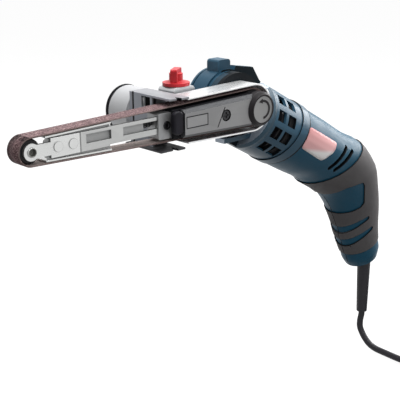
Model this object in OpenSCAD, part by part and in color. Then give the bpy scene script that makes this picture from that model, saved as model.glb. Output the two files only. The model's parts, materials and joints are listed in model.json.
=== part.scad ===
// Power file: a narrow belt sander with a pistol grip, arm level and grip down, as it is held.
// The origin is the middle of the hand grip. X runs back along the arm, Y away from the cover side, Z up.
// Most pieces are drawn from the drive spindle: its axis lies along Y in the belt's middle plane.

/* [Sanding belt] */
// Length of the belt round its loop
belt_length = 457; // [445:1:470]
// Width of the belt
belt_w = 13; // [10:0.5:13]
// Thickness of the belt
belt_t = 1; // [0.6:0.1:1.4]
// Diameter of the front roller
roller_d = 16.4; // [15:0.2:18]
// Diameter of the drive pulley
pulley_d = 26.6; // [25:0.2:28]
// How far the front arm slides back to free the belt
tension_travel = 8; // [4:0.5:9]

/* [Sanding arm] */
// Thickness of the front bar
bar_t = 2.2; // [1.6:0.1:2.4]
// Diameter of the eye at the bar's front end
bar_eye_d = 11.2; // [9:0.2:13]
// Diameter of the front roller's pin
roller_pin_d = 6; // [4:0.5:7]
// Length of the platen
platen_l = 51; // [40:1:56]
// Wall of the platen
platen_t = 1.2; // [0.8:0.1:1.6]
// Thickness of the arm's side cover over the base
cover_t = 5; // [4:0.2:6]
// Diameter of the cap over the drive pulley
cap_d = 26; // [22:0.5:26]
// Thickness of the belt guard
guard_t = 1.3; // [0.8:0.1:1.8]

/* [Dust hood] */
// Length of the hood along the belt
hood_l = 16; // [14:0.5:16]
// Reach of the hood away from the belt's middle
hood_reach = 36; // [33:0.5:40]
// Height of the hood
hood_h = 38.2; // [37:0.2:40]
// Wall of the hood
hood_t = 1.6; // [1.2:0.1:2]
// Outer diameter of the dust port
port_d = 35; // [32:0.5:38]
// Wall of the dust port
port_wall = 2; // [1.6:0.1:2.6]
// Length of the dust port beyond the hood
port_l = 22; // [18:0.5:30]

/* [Arm clamp] */
// Diameter of the neck that the arm turns on
neck_d = 38; // [36:0.5:40]
// Diameter of the clamp collar
collar_d = 48; // [46:0.5:48.5]
// Diameter of the wing knob's flange
knob_d = 20; // [16:0.5:22]
// Diameter of the clamp screw
clamp_screw_d = 6; // [5:0.5:7]

/* [Housing] */
// Downward tilt of the motor behind the arm
motor_tilt = 29; // [24:1:34]
// Distance of the motor's axis from the belt's middle plane
motor_offset = 24; // [24:0.5:26]
// Diameter of the motor housing
housing_d = 55.2; // [54:0.2:58]
// Wall of the housing
housing_wall = 2.4; // [1.8:0.1:2.6]
// Diameter of the gear head's drum
drum_d = 50.4; // [50:0.2:52]
// Thickness of the soft grip
grip_t = 1.2; // [0.8:0.1:1.6]
// Distance of the hand grip behind the spindle
grip_back = 160; // [150:1:170]
// Distance of the hand grip below the spindle
grip_drop = 134; // [126:1:142]

/* [Motor] */
// Diameter of the armature's core
armature_d = 29; // [27:0.5:30]
// Length of the armature's core
core_l = 38; // [34:1:40]
// Diameter of the motor shaft
shaft_d = 8; // [6:0.5:8]
// Gap between the cooling fan and the housing
fan_room = 2.7; // [2.2:0.1:5.2]
// Diameter of the drive spindle
spindle_d = 8; // [6:0.5:8]
// Teeth of the pinion
pinion_teeth = 9; // [8:1:10]
// Teeth of the bevel gear
gear_teeth = 21; // [18:1:22]

/* [Cord] */
// Diameter of the cord
cord_d = 6; // [5.4:0.1:6.2]
// Length of the strain relief outside the grip
relief_l = 48; // [36:1:52]

/* [Hidden] */
$fn = 64;

// Clearances and the overrun of cuts
over = 1;
run_gap = 0.3;
fit_gap = 0.05;
seat_gap = 0.1;

// Belt loop
roller_r = roller_d / 2;
pulley_r = pulley_d / 2;
loop_front_r = roller_r + run_gap;
loop_rear_r = pulley_r + run_gap;
arm_l = (belt_length - PI * (loop_front_r + loop_rear_r + belt_t)) / 2;
run_tilt = asin((loop_rear_r - loop_front_r) / arm_l);
belt_half = belt_w / 2;

// Height of the inside of the belt's upper run above the arm's middle line
function run_z(x) = (loop_front_r + (x + arm_l) * sin(run_tilt)) / cos(run_tilt);

// Layers across the arm, from the cover side to the gear head
bar_proud = 0.3;
bar_y0 = -belt_half - bar_proud;
bar_y1 = bar_y0 + bar_t;
base_gap = 1.5;
base_t = 2.2;
base_y1 = bar_y0 - base_gap;
base_y0 = base_y1 - base_t;
cover_y0 = base_y0 - cover_t;
cap_rise = 2.8;
cap_y0 = cover_y0 - cap_rise;
guard_clear = 2.7;
guard_y1 = belt_half + guard_clear;
far_t = 3.8;
far_y1 = guard_y1 + far_t;
collar_w = 5.6;
flange_l = 2.4;
collar_y1 = far_y1 + collar_w;
drum_w = 15.7;
flange_y0 = collar_y1 + run_gap;
drum_y0 = flange_y0 + flange_l;
drum_y1 = drum_y0 + drum_w;

// Places along the arm
bar_slot_h = 5.6;
roller_x = -arm_l;
platen_back = 10.4;
platen_x0 = roller_x + platen_back;
platen_x1 = platen_x0 + platen_l;
block_l = 12.4;
block_x1 = -79.6;
block_x0 = block_x1 - block_l;
rod_tail = 12;
rod_x1 = block_x1 + rod_tail;
hood_x0 = -82;
hood_x1 = hood_x0 + hood_l;
guard_x0 = hood_x1 + run_gap;

module at_spindle() {
    translate([-grip_back, -motor_offset, grip_drop]) children();
}

// Along the motor's axis: Z runs back from the spindle, X runs down
module at_motor() {
    at_spindle() translate([0, motor_offset, 0]) rotate([0, 90 + motor_tilt, 0]) children();
}

// A side outline, drawn in X and Z, made solid from y0 to y1
module side(y0, y1) {
    translate([0, y1, 0]) rotate([90, 0, 0]) linear_extrude(y1 - y0) children();
}

// A round bar along Y
module along_y(d, y0, y1) {
    translate([0, y0, 0]) rotate([-90, 0, 0]) cylinder(d = d, h = y1 - y0);
}

// A round bar along X
module along_x(d, x0, x1) {
    translate([x0, 0, 0]) rotate([0, 90, 0]) cylinder(d = d, h = x1 - x0);
}

// A block between two corners
module block(low, high) {
    translate(low) cube(high - low);
}

// A rounded rectangle between two corners
module round_rect(low, high, r) {
    for (x = [low.x + r, high.x - r], z = [low.y + r, high.y - r]) translate([x, z]) circle(r);
    translate([low.x + r, low.y]) square([high.x - low.x - 2 * r, high.y - low.y]);
    translate([low.x, low.y + r]) square([high.x - low.x, high.y - low.y - 2 * r]);
}

// The outline round both wheels, grown outward from the belt's inside
arc_step = 5;
function arc_points(x, r, from, to) = let (n = ceil((to - from) / arc_step))
    [for (i = [0 : n]) let (t = from + (to - from) * i / n) [x + r * cos(t), r * sin(t)]];
module loop_outline(grow) {
    t = 90 + run_tilt;
    polygon(concat(arc_points(roller_x, loop_front_r + grow, t, 360 - t),
        arc_points(0, loop_rear_r + grow, -t, t)));
}

// Sanding belt
module sanding_belt() {
    color("rosybrown") at_spindle() side(-belt_half, belt_half) difference() {
        loop_outline(belt_t);
        loop_outline(0);
    }
}

// Front roller with its pin
roller_end_round = 1.2;
module front_roller() {
    y0 = bar_y1 + run_gap;
    color("dimgray") at_spindle() translate([roller_x, y0, 0]) rotate([-90, 0, 0]) rotate_extrude() {
        w = belt_half - y0;
        in_r = roller_pin_d / 2 + fit_gap;
        polygon([[in_r, 0], [roller_r - roller_end_round, 0], [roller_r, roller_end_round],
            [roller_r, w - roller_end_round], [roller_r - roller_end_round, w], [in_r, w]]);
    }
}

pin_head_d = 8.6;
pin_head_t = 1.2;
pin_socket_share = 0.78;
module roller_pin() {
    socket_d = roller_pin_d * pin_socket_share;
    color("gray") at_spindle() translate([roller_x, 0, 0]) difference() {
        union() {
            along_y(roller_pin_d, bar_y0 - pin_head_t, belt_half + pin_head_t + run_gap);
            along_y(pin_head_d, belt_half + run_gap, belt_half + run_gap + pin_head_t);
        }
        along_y(socket_d, bar_y0 - pin_head_t - over, bar_y0 + bar_t);
    }
}

// Front bar: the eye, the plate behind the platen and the slotted slide
bar_top = 6.6;
bar_low = -6.2;
slide_top = 6.8;
slide_low = -5.2;
neck_h = 8.4;
neck_l = 14;
window_l = 20;
window_gap = 4;
window_h = 6;
window_z = 1.6;
slot_l = 30;
slot_gap = 3;
slide_step = 3;
tail_l = 9;
tab_t = 1.6;
tab_reach = 2.9;
slide_x0 = platen_x1 - slide_step;
slide_x1 = block_x1 + tail_l;
slot_x1 = block_x0 - slot_gap;
slot_x0 = slot_x1 - slot_l;
window_x1 = platen_x1 - window_gap;
module front_bar() {
    color("gainsboro") at_spindle() {
        side(bar_y0, bar_y1) difference() {
            union() {
                translate([roller_x, 0]) circle(d = bar_eye_d);
                translate([roller_x, -neck_h / 2]) square([neck_l, neck_h]);
                translate([roller_x + neck_l, bar_low])
                    square([slide_x0 - roller_x - neck_l + over, bar_top - bar_low]);
                translate([slide_x0, slide_low]) square([slide_x1 - slide_x0, slide_top - slide_low]);
            }
            translate([roller_x, 0]) circle(d = roller_pin_d + 2 * seat_gap);
            translate([window_x1 - window_l, window_z - window_h / 2]) square([window_l, window_h]);
            translate([slot_x0, window_z - bar_slot_h / 2]) square([slot_l, bar_slot_h]);
        }
        side(bar_y1 - bar_proud, bar_y1 + tab_reach) difference() {
            translate([slot_x0 - tab_t, window_z - bar_slot_h / 2]) square([2 * tab_t, bar_slot_h]);
            translate([slot_x0, window_z - bar_slot_h]) square([2 * tab_t, 2 * bar_slot_h]);
        }
    }
}

// Platen: a stamped channel that backs both runs of the belt
platen_chamfer = 3.2;
platen_gap = 0.5;
flange_near = 0.1;
flange_far = 0.6;
module platen() {
    z0 = run_z(platen_x0) - platen_gap;
    z1 = run_z(platen_x1) - platen_gap;
    c = platen_chamfer;
    color("silver") at_spindle() {
        for (s = [1, -1]) side(-belt_half + flange_near, belt_half - flange_far) polygon([[platen_x0, s * z0],
            [platen_x1, s * z1], [platen_x1, s * (z1 - platen_t)], [platen_x0, s * (z0 - platen_t)]]);
        side(bar_y1, bar_y1 + platen_t)
            polygon([[platen_x0, z0 - c], [platen_x0 + c, z0 - platen_t / 2], [platen_x1, z1 - platen_t / 2],
                [platen_x1, -z1 + platen_t / 2], [platen_x0 + c, -z0 + platen_t / 2], [platen_x0, -z0 + c]]);
    }
}

// Two round rivets hold the platen to the bar
rivet_d = 7;
rivet_rise = 0.5;
rivet_first = 19.5;
rivet_pitch = 11.4;
rivet_z = 0.4;
module platen_rivets() {
    color("whitesmoke") at_spindle() for (i = [0, 1]) {
        translate([roller_x + rivet_first + i * rivet_pitch, 0, rivet_z])
            along_y(rivet_d, bar_y0 - rivet_rise, bar_y0);
    }
}

// Guide block, in which the front bar slides
block_top = 8.6;
block_low = -9.4;
block_y1 = 4;
block_near = 1.2;
block_round = 1.2;
rod_d = 3.4;
rod_y = 0.4;
rod_z = window_z;
module guide_block() {
    color("darkgray") at_spindle() difference() {
        side(bar_y0 - block_near, block_y1)
            round_rect([block_x0, block_low], [block_x1, block_top], block_round);
        block([block_x0 - over, bar_y0 - run_gap, slide_low - run_gap],
            [block_x1 + over, bar_y1 + run_gap, slide_top + run_gap]);
        translate([0, rod_y, rod_z]) along_x(rod_d + 2 * seat_gap, block_x0 - over, block_x1 + over);
        translate([block_screw_x, 0, 0])
            along_y(block_screw_d + 2 * seat_gap, bar_y0 - block_near - over, bar_y0);
    }
}

// Screw head in the guide block
block_screw_d = 6;
block_screw_share = 0.6;
block_screw_x = block_x1 - block_l * (1 - block_screw_share);
hex_share = 0.5;
module block_screw() {
    y0 = bar_y0 - block_near - rivet_rise;
    color("dimgray") at_spindle() translate([block_screw_x, 0, 0]) difference() {
        along_y(block_screw_d, y0, bar_y0 - run_gap);
        along_y(block_screw_d * hex_share, y0 - over, y0 + rivet_rise);
    }
}

// Rod and spring that push the front bar forward
rod_front = 2;
module tension_rod() {
    color("gray") at_spindle() translate([0, rod_y, rod_z]) along_x(rod_d, slot_x0 + rod_front, rod_x1);
}

spring_wire = 0.8;
spring_coils = 7;
spring_gap = 0.35;
spring_r = rod_d / 2 + spring_gap + spring_wire / 2;
spring_rings = 8;
spring_sides = 6;
spring_end = 0.2;
spring_l = slot_x1 - slot_x0 - tension_travel - tab_t;
module tension_spring() {
    n = spring_coils * spring_rings;
    x1 = block_x0 - spring_end - spring_wire / 2;
    pitch = (spring_l - spring_wire) / spring_coils;
    path = [for (i = [0 : n]) [x1 - pitch * i / spring_rings, rod_y + spring_r * cos(360 * i / spring_rings),
        rod_z + spring_r * sin(360 * i / spring_rings)]];
    echo(least_gap_of_spring = least_gap(path, spring_rings / 2, spring_wire));
    color("dimgray") at_spindle() tube(path, spring_wire / 2, spring_sides);
}

// Least gap between parts of a wound tube that lie more than some steps apart
function least_gap(p, steps, d) = min([for (i = [0 : len(p) - 1], j = [i + steps : 1 : len(p) - 1])
    norm(p[i] - p[j])]) - d;
// A round tube of a few sides through a row of points
function unit(v) = v / norm(v);
function heading(p, i) = unit(p[min(i + 1, len(p) - 1)] - p[max(i - 1, 0)]);
function side_of(v) = unit(abs(v.z) < 0.9 ? cross(v, [0, 0, 1]) : cross(v, [0, 1, 0]));
// Carries a sideways direction along the path without twist
function frames(p, i = 0, s = undef) = i == len(p) ? [] :
    let (t = heading(p, i), a = is_undef(s) ? side_of(t) : s, u = unit(a - (a * t) * t))
    concat([[u, cross(t, u)]], frames(p, i + 1, u));
module tube(p, r, sides) {
    f = frames(p);
    n = len(p);
    points = [for (i = [0 : n - 1], k = [0 : sides - 1])
        p[i] + r * (cos(360 * k / sides) * f[i][0] + sin(360 * k / sides) * f[i][1])];
    walls = [for (i = [0 : n - 2], k = [0 : sides - 1]) let (a = i * sides + k, b = i * sides + (k + 1) % sides)
        each [[a, a + sides, b], [b, a + sides, b + sides]]];
    first = [for (k = [1 : sides - 2]) [0, k, k + 1]];
    end = (n - 1) * sides;
    last = [for (k = [1 : sides - 2]) [end, end + k + 1, end + k]];
    polyhedron(points = points, faces = concat(walls, first, last));
}

// Arm base: near plate inside the loop, a core through it and a far plate that turns on the neck
base_inset = 1.4;
nose_x0 = -83.4;
nose_over = 2.6;
base_x0 = nose_x0 + nose_over;
core_inset = 2.6;
core_x0 = block_x1 + seat_gap;
pulley_room = 1.4;
far_plate_h = 20;
far_x0 = -79;
module arm_outline(x0, inset) {
    polygon([[x0, run_z(x0) - inset], [0, run_z(0) - inset], [0, -run_z(0) + inset], [x0, -run_z(x0) + inset]]);
    circle(loop_rear_r - inset);
}
module core_outline(grow) {
    difference() {
        z0 = run_z(core_x0) - core_inset + grow;
        z1 = run_z(0) - core_inset + grow;
        polygon([[core_x0 - grow, z0], [0, z1], [0, -z1], [core_x0 - grow, -z0]]);
        circle(pulley_r + pulley_room - grow);
    }
}
module arm_base() {
    color("#26282b") at_spindle() difference() {
        union() {
            side(base_y0, base_y1) arm_outline(base_x0, base_inset);
            side(base_y1, far_y1) core_outline(0);
            side(guard_y1, far_y1) {
                circle(d = collar_d);
                translate([far_x0, -far_plate_h / 2]) square([-far_x0, far_plate_h]);
            }
        }
        block([core_x0 - over, bar_y0 - run_gap, slide_low - run_gap],
            [slide_x1 + tension_travel + run_gap, bar_y1 + run_gap, slide_top + run_gap]);
        translate([0, rod_y, rod_z]) along_x(rod_d + 2 * seat_gap, core_x0 - over, rod_x1 + seat_gap);
        along_y(neck_d + 2 * fit_gap, guard_y1 - over, far_y1 + over);
        translate([cover_screw_x, 0, cover_screw_z])
            along_y(cover_shank_d, base_y0 - over, base_y1 + cover_bite);
        block([far_x0 - over, base_y1, block_low - over], [core_x0, guard_y1 - over, block_top + over]);
    }
}

// Rounded nose in front of the side cover
nose_back = 8.6;
nose_rise = 4.4;
nose_top = 9.6;
nose_low = -6.6;
nose_round = 3.2;
module arm_nose() {
    color("#1d1f22") at_spindle() side(base_y0 - nose_rise, base_y0)
        round_rect([nose_x0, nose_low], [nose_x0 + nose_back, nose_top], nose_round);
}

// Side cover with bevelled edges, an inset frame and a slanted groove
bevel = 2.2;
bevel_h = 2.6;
cover_inset = 1.9;
cover_gap = 0.4;
cover_x0 = nose_x0 + nose_back + cover_gap;
frame_x0 = 1.2;
frame_l = 20.4;
frame_low = -3.4;
frame_top = 5.2;
frame_w = 0.7;
frame_deep = 0.5;
groove_w = 0.9;
groove_top_x = -37;
groove_low_x = -44;
groove_half_h = 6.8;
cover_screw_x = -35;
cover_screw_z = 0.6;
screw_recess_d = 6.6;
screw_recess_deep = 1.8;
cover_shank_d = 3;
cover_bite = 6;
slab = 0.05;
module cover_outline(inset) {
    polygon([[cover_x0, run_z(cover_x0) - inset], [0, run_z(0) - inset], [0, -run_z(0) + inset],
        [cover_x0, -run_z(cover_x0) + inset]]);
}
module arm_cover() {
    x0 = cover_x0 + frame_x0;
    color("#7d7e80") at_spindle() difference() {
        union() {
            side(base_y0 - cover_t + bevel_h, base_y0) cover_outline(cover_inset);
            hull() {
                side(base_y0 - cover_t + bevel_h, base_y0 - cover_t + bevel_h + slab)
                    cover_outline(cover_inset);
                side(cover_y0, cover_y0 + slab) cover_outline(cover_inset + bevel);
            }
        }
        along_y(cap_d + 2 * seat_gap, cover_y0 - over, base_y0 + over);
        side(cover_y0 - over, cover_y0 + frame_deep) difference() {
            translate([x0, frame_low]) square([frame_l, frame_top - frame_low]);
            translate([x0 + frame_w, frame_low + frame_w])
                square([frame_l - 2 * frame_w, frame_top - frame_low - 2 * frame_w]);
        }
        side(cover_y0 - over, cover_y0 + frame_deep) polygon([[groove_low_x, -groove_half_h],
            [groove_low_x + groove_w, -groove_half_h], [groove_top_x + groove_w, groove_half_h],
            [groove_top_x, groove_half_h]]);
        translate([cover_screw_x, 0, cover_screw_z]) {
            along_y(screw_recess_d, cover_y0 - over, cover_y0 + screw_recess_deep);
            along_y(cover_shank_d + 2 * seat_gap, cover_y0, base_y0 + over);
        }
    }
}

cover_head_d = 5.6;
cover_head_t = 1.4;
cross_l_share = 0.62;
cross_w_share = 0.2;
cross_deep_share = 0.6;
// A screw along Y with its head at the lower Y and a cross in the head
module cross_screw(head_d, head_t, shank_d, l) {
    difference() {
        union() {
            along_y(head_d, 0, head_t);
            along_y(shank_d, 0, l);
        }
        for (a = [0, 90]) rotate([0, a, 0])
            block([-head_d * cross_l_share / 2, -over, -head_d * cross_w_share / 2],
            [head_d * cross_l_share / 2, head_t * cross_deep_share, head_d * cross_w_share / 2]);
    }
}
module cover_screw() {
    l = base_y1 + cover_bite - cover_y0 - screw_recess_deep + cover_head_t - seat_gap;
    color("#2c2d30") at_spindle()
        translate([cover_screw_x, cover_y0 + screw_recess_deep - cover_head_t, cover_screw_z])
            cross_screw(cover_head_d, cover_head_t, cover_shank_d - 2 * seat_gap, l);
}

// Cap over the drive pulley: a cone with a rim round its face and a turning arrow
cap_cone = 1.9;
cap_rim_w = 1.2;
cap_rim_h = 0.6;
arrow_r_share = 0.49;
arrow_w = 1.7;
arrow_from = -85;
arrow_to = 95;
arrow_head = 3.6;
cap_side_rise = 0.4;
module cap_arrow() {
    r = cap_d / 2 * arrow_r_share;
    turn = arrow_to - arrow_from;
    difference() {
        circle(r + arrow_w / 2);
        circle(r - arrow_w / 2);
        polygon(concat([[0, 0]], [for (i = [0 : 8]) cap_d * [cos(arrow_to + (360 - turn) * i / 8),
            sin(arrow_to + (360 - turn) * i / 8)]]));
    }
    rotate(arrow_to) translate([r, 0]) polygon([[-arrow_head / 2, 0], [arrow_head / 2, 0], [0, arrow_head]]);
}
module pulley_cap() {
    face_d = cap_d - 2 * cap_cone;
    color("#6f7072") at_spindle() {
        along_y(cap_d, cover_y0, base_y0);
        translate([0, cap_y0 + cap_rim_h, 0]) rotate([-90, 0, 0])
            cylinder(d1 = face_d, d2 = cap_d, h = cap_rise - cap_rim_h);
        difference() {
            along_y(face_d, cap_y0, cap_y0 + cap_rim_h);
            along_y(face_d - 2 * cap_rim_w, cap_y0 - over, cap_y0 + cap_rim_h);
        }
        side(cap_y0 + cap_side_rise / 2, cap_y0 + cap_rim_h) cap_arrow();
    }
}

// Belt guard: a strip round the rear of the loop with a wall behind the belt
guard_gap = 3.1;
guard_near = 2.5;
module guard_outline(grow) {
    intersection() {
        loop_outline(grow);
        translate([guard_x0, -pulley_d]) square([pulley_d - guard_x0, 2 * pulley_d]);
    }
}
module belt_guard() {
    color("#d3d5d6") at_spindle() {
        side(-belt_half - guard_near, guard_y1) difference() {
            guard_outline(guard_gap + guard_t);
            loop_outline(guard_gap);
        }
        side(guard_y1 - guard_t, guard_y1) difference() {
            guard_outline(guard_gap + guard_t);
            core_outline(seat_gap);
            circle(pulley_r);
        }
    }
}

// Dust hood: plates above and below the belt, a duct beyond it
hood_top = 17.7;
hood_low = hood_top - hood_h;
hood_near = 8.8;
hood_low_near = 4.2;
hood_low_front = 5;
tongue = 1.8;
notch_w = 4;
notch_deep = 4;
duct_y0 = 11;
rib_l = 8;
rib_back = 5.8;
rib_x0 = hood_x0 + rib_back;
hood_window_low = 8.4;
hood_window_y0 = duct_y0 + 2;
hood_window_w = 9.6;
hood_groove_w = 1;
hood_groove_back = 2.6;
hood_rear_y0 = far_y1 + hood_t;
port_back = 13.5;
port_x = hood_x0 + port_back;
module hood_plate(x0, near) {
    m = (hood_x0 + hood_x1) / 2;
    polygon([[x0, -near], [m - notch_w / 2, -near], [m, -near + notch_deep],
        [m + notch_w / 4, -near - tongue], [hood_x1, -near - tongue], [hood_x1, hood_reach],
        [x0, hood_reach]]);
}
module dust_hood() {
    in_z = hood_top - hood_t;
    color("#9a9da1") at_spindle() difference() {
        union() {
            translate([0, 0, in_z]) linear_extrude(hood_t) hood_plate(hood_x0, hood_near);
            translate([0, 0, hood_low]) linear_extrude(hood_t) hood_plate(hood_x0 - hood_low_front, hood_low_near);
            block([hood_x0, duct_y0, hood_low], [hood_x0 + hood_t, hood_reach, hood_top]);
            block([hood_x1 - hood_t, hood_rear_y0, hood_low], [hood_x1, hood_reach, hood_top]);
            block([rib_x0, far_y1, hood_low], [rib_x0 + rib_l, far_y1 + hood_t, hood_top]);
        }
        block([hood_x0 - over, hood_window_y0, hood_window_low],
            [hood_x0 + hood_t + over, hood_window_y0 + hood_window_w, in_z]);
        block([hood_x0 - over, hood_reach - hood_groove_back - hood_groove_w, hood_low - over],
            [hood_x0 + hood_t / 2, hood_reach - hood_groove_back, hood_top + over]);
    }
}

// Dust port: a round spigot for a hose on the hood's far end
port_floor = 1.6;
port_hole = 11;
port_lip_l = 1.4;
module dust_port() {
    color("#a7aaae") at_spindle() translate([port_x, 0, 0]) difference() {
        along_y(port_d, hood_reach, hood_reach + port_l);
        along_y(port_d - 2 * port_wall, hood_reach + port_floor, hood_reach + port_l + over);
        block([hood_x0 + hood_t - port_x, hood_reach - over, -port_hole], [hood_x1 - hood_t - port_x,
            hood_reach + port_floor + over, port_hole]);
    }
}

lip_rise = 0.5;
module port_lip() {
    y0 = hood_reach + port_l;
    color("#1c1d1f") at_spindle() translate([port_x, 0, 0]) difference() {
        along_y(port_d + 2 * lip_rise, y0, y0 + port_lip_l);
        along_y(port_d - 2 * port_wall, y0 - over, y0 + port_lip_l + over);
    }
}

// Split clamp collar with two ears, drawn together by the wing knob's screw
collar_slit = 2;
ear_x0 = -60;
ear_x1 = -39.6;
ear_y1 = 30;
ear_top = 19.4;
ear_low = -12;
ear_arm_h = 16;
ear_round = 3;
knob_x = -49.8;
knob_y = 22;
module clamp_collar() {
    color("#8d959c") at_spindle() difference() {
        union() {
            side(far_y1, collar_y1) {
                circle(d = collar_d);
                translate([ear_x0, -ear_arm_h / 2]) square([-ear_x0, ear_arm_h]);
            }
            side(far_y1, ear_y1) round_rect([ear_x0, ear_low], [ear_x1, ear_top], ear_round);
        }
        along_y(neck_d + 2 * fit_gap, far_y1 - over, collar_y1 + over);
        block([ear_x0 - over, far_y1 - over, -collar_slit / 2], [0, ear_y1 + over, collar_slit / 2]);
        translate([knob_x, knob_y, ear_low - over])
            cylinder(d = clamp_screw_d + 2 * fit_gap, h = ear_top - ear_low + 2 * over);
    }
}

// Red wing knob and its screw
knob_flange_t = 2.2;
knob_cone_h = 1.4;
knob_top_d = 10;
wing_l = 14;
wing_w = 5;
wing_h = 8.4;
wing_round = 1.6;
wing_turn = 35;
knob_gap = 0.3;
knob_z = ear_top + knob_gap;
module wing_knob() {
    color("#d8323c") at_spindle() translate([knob_x, knob_y, knob_z]) difference() {
        union() {
            cylinder(d = knob_d, h = knob_flange_t);
            translate([0, 0, knob_flange_t])
                cylinder(d1 = knob_d * knob_skirt_share, d2 = knob_top_d, h = knob_cone_h);
            cylinder(d = knob_top_d, h = knob_flange_t + knob_cone_h + wing_h * hub_share);
            rotate(wing_turn) side(-wing_w / 2, wing_w / 2) round_rect([-wing_l / 2, 0],
                [wing_l / 2, knob_flange_t + knob_cone_h + wing_h], wing_round);
        }
        translate([0, 0, -over]) cylinder(d = clamp_screw_d, h = over + knob_flange_t + knob_cone_h);
    }
}
knob_skirt_share = 0.86;
hub_share = 0.6;

screw_tail = 3;
module clamp_screw() {
    low = ear_low - screw_tail;
    color("silver") at_spindle() translate([knob_x, knob_y, low])
        cylinder(d = clamp_screw_d, h = knob_z + knob_flange_t + knob_cone_h - low);
}

// Drive pulley on the spindle, held by a screw
pulley_crown = 0.4;
pulley_groove = 1;
pulley_groove_w = 1.6;
module drive_pulley() {
    in_r = spindle_d / 2 + seat_gap;
    edge = pulley_r - pulley_crown;
    g = pulley_groove_w / 2;
    color("#2b2b2d") at_spindle() translate([0, -belt_half, 0]) rotate([-90, 0, 0]) rotate_extrude()
        polygon([[in_r, 0], [edge, 0], [pulley_r, belt_half - g], [pulley_r - pulley_groove, belt_half - g],
            [pulley_r - pulley_groove, belt_half + g], [pulley_r, belt_half + g], [edge, belt_w],
            [in_r, belt_w]]);
}

pulley_screw_d = 10;
pulley_screw_t = 1.2;
module pulley_screw() {
    color("silver") at_spindle() translate([0, -belt_half - pulley_screw_t, 0])
        cross_screw(pulley_screw_d, pulley_screw_t, spindle_d * cross_l_share, pulley_screw_t);
}

// Spindle with its bearings in the neck and the gear cover
bearing_d = 22;
neck_bearing_w = 7;
neck_bearing_back = 2;
far_bearing_d = 16;
far_bearing_w = 5;
neck_y0 = guard_y1 + run_gap;
neck_bearing_y0 = neck_y0 + neck_bearing_back;
far_bearing_in = 3.8;
far_bearing_y0 = drum_y1 - far_bearing_in;
module spindle() {
    color("lightgray") at_spindle() along_y(spindle_d, -belt_half, far_bearing_y0 + far_bearing_w);
}
module ring_y(d, bore, y0, y1) {
    difference() {
        along_y(d, y0, y1);
        along_y(bore, y0 - over, y1 + over);
    }
}
module spindle_bearings() {
    bore = spindle_d + 2 * fit_gap;
    color("lightslategray") at_spindle() {
        ring_y(bearing_d, bore, neck_bearing_y0, neck_bearing_y0 + neck_bearing_w);
        ring_y(far_bearing_d, bore, far_bearing_y0, far_bearing_y0 + far_bearing_w);
    }
}

// Bevel gears whose cones meet where the motor's axis crosses the spindle
gear_ratio = gear_teeth / pinion_teeth;
mesh_in = 9.2;
mesh_out = 15;
tooth_add_share = 0.05;
tooth_ded_share = 0.094;
tooth_root_share = 0.3;
tooth_tip_share = 0.12;
gear_deep = 7.2;
gear_trim_d = 32;
gear_disc_t = 1.4;
gear_hub_d = 14;
gear_hub_l = 0.3;
// A toothed outline of given pitch, tip and root radii
module teeth_outline(n, tip, root) {
    p = 360 / n;
    form = [[root, -tooth_root_share], [tip, -tooth_tip_share], [tip, tooth_tip_share],
        [root, tooth_root_share]];
    polygon([for (i = [0 : n - 1], s = form) s[0] * [cos(p * (i + s[1])), sin(p * (i + s[1]))]]);
}
// Points towards the gear: half a tooth turns the gear so that a gap meets the pinion's tooth
module bevel_gear() {
    y0 = mesh_in / gear_ratio;
    pitch = mesh_in;
    lean = sqrt(1 + gear_ratio * gear_ratio);
    tip = pitch + mesh_in * tooth_add_share * lean;
    root = pitch - mesh_in * tooth_ded_share * lean;
    back = motor_offset + gear_deep;
    color("#8a8d90") at_spindle() difference() {
        union() {
            intersection() {
                translate([0, motor_offset + y0, 0]) rotate([-90, 0, 0]) rotate(motor_tilt + 180 / gear_teeth)
                    linear_extrude(gear_deep - y0, scale = gear_deep / y0) teeth_outline(gear_teeth, tip, root);
                along_y(gear_trim_d, motor_offset, back);
            }
            along_y(gear_trim_d, back, back + gear_disc_t);
            along_y(gear_hub_d, back, back + gear_disc_t + gear_hub_l);
        }
        along_y(spindle_d + 2 * seat_gap, motor_offset - gear_deep, back + gear_disc_t + gear_hub_l + over);
    }
}
module pinion() {
    pitch = mesh_in / gear_ratio;
    tip = pitch + mesh_in * tooth_add_share;
    root = pitch - mesh_in * tooth_ded_share;
    color("#8a8d90") at_motor() translate([0, 0, mesh_in]) rotate(90)
        linear_extrude(mesh_out - mesh_in, scale = mesh_out / mesh_in) teeth_outline(pinion_teeth, tip, root);
}

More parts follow.
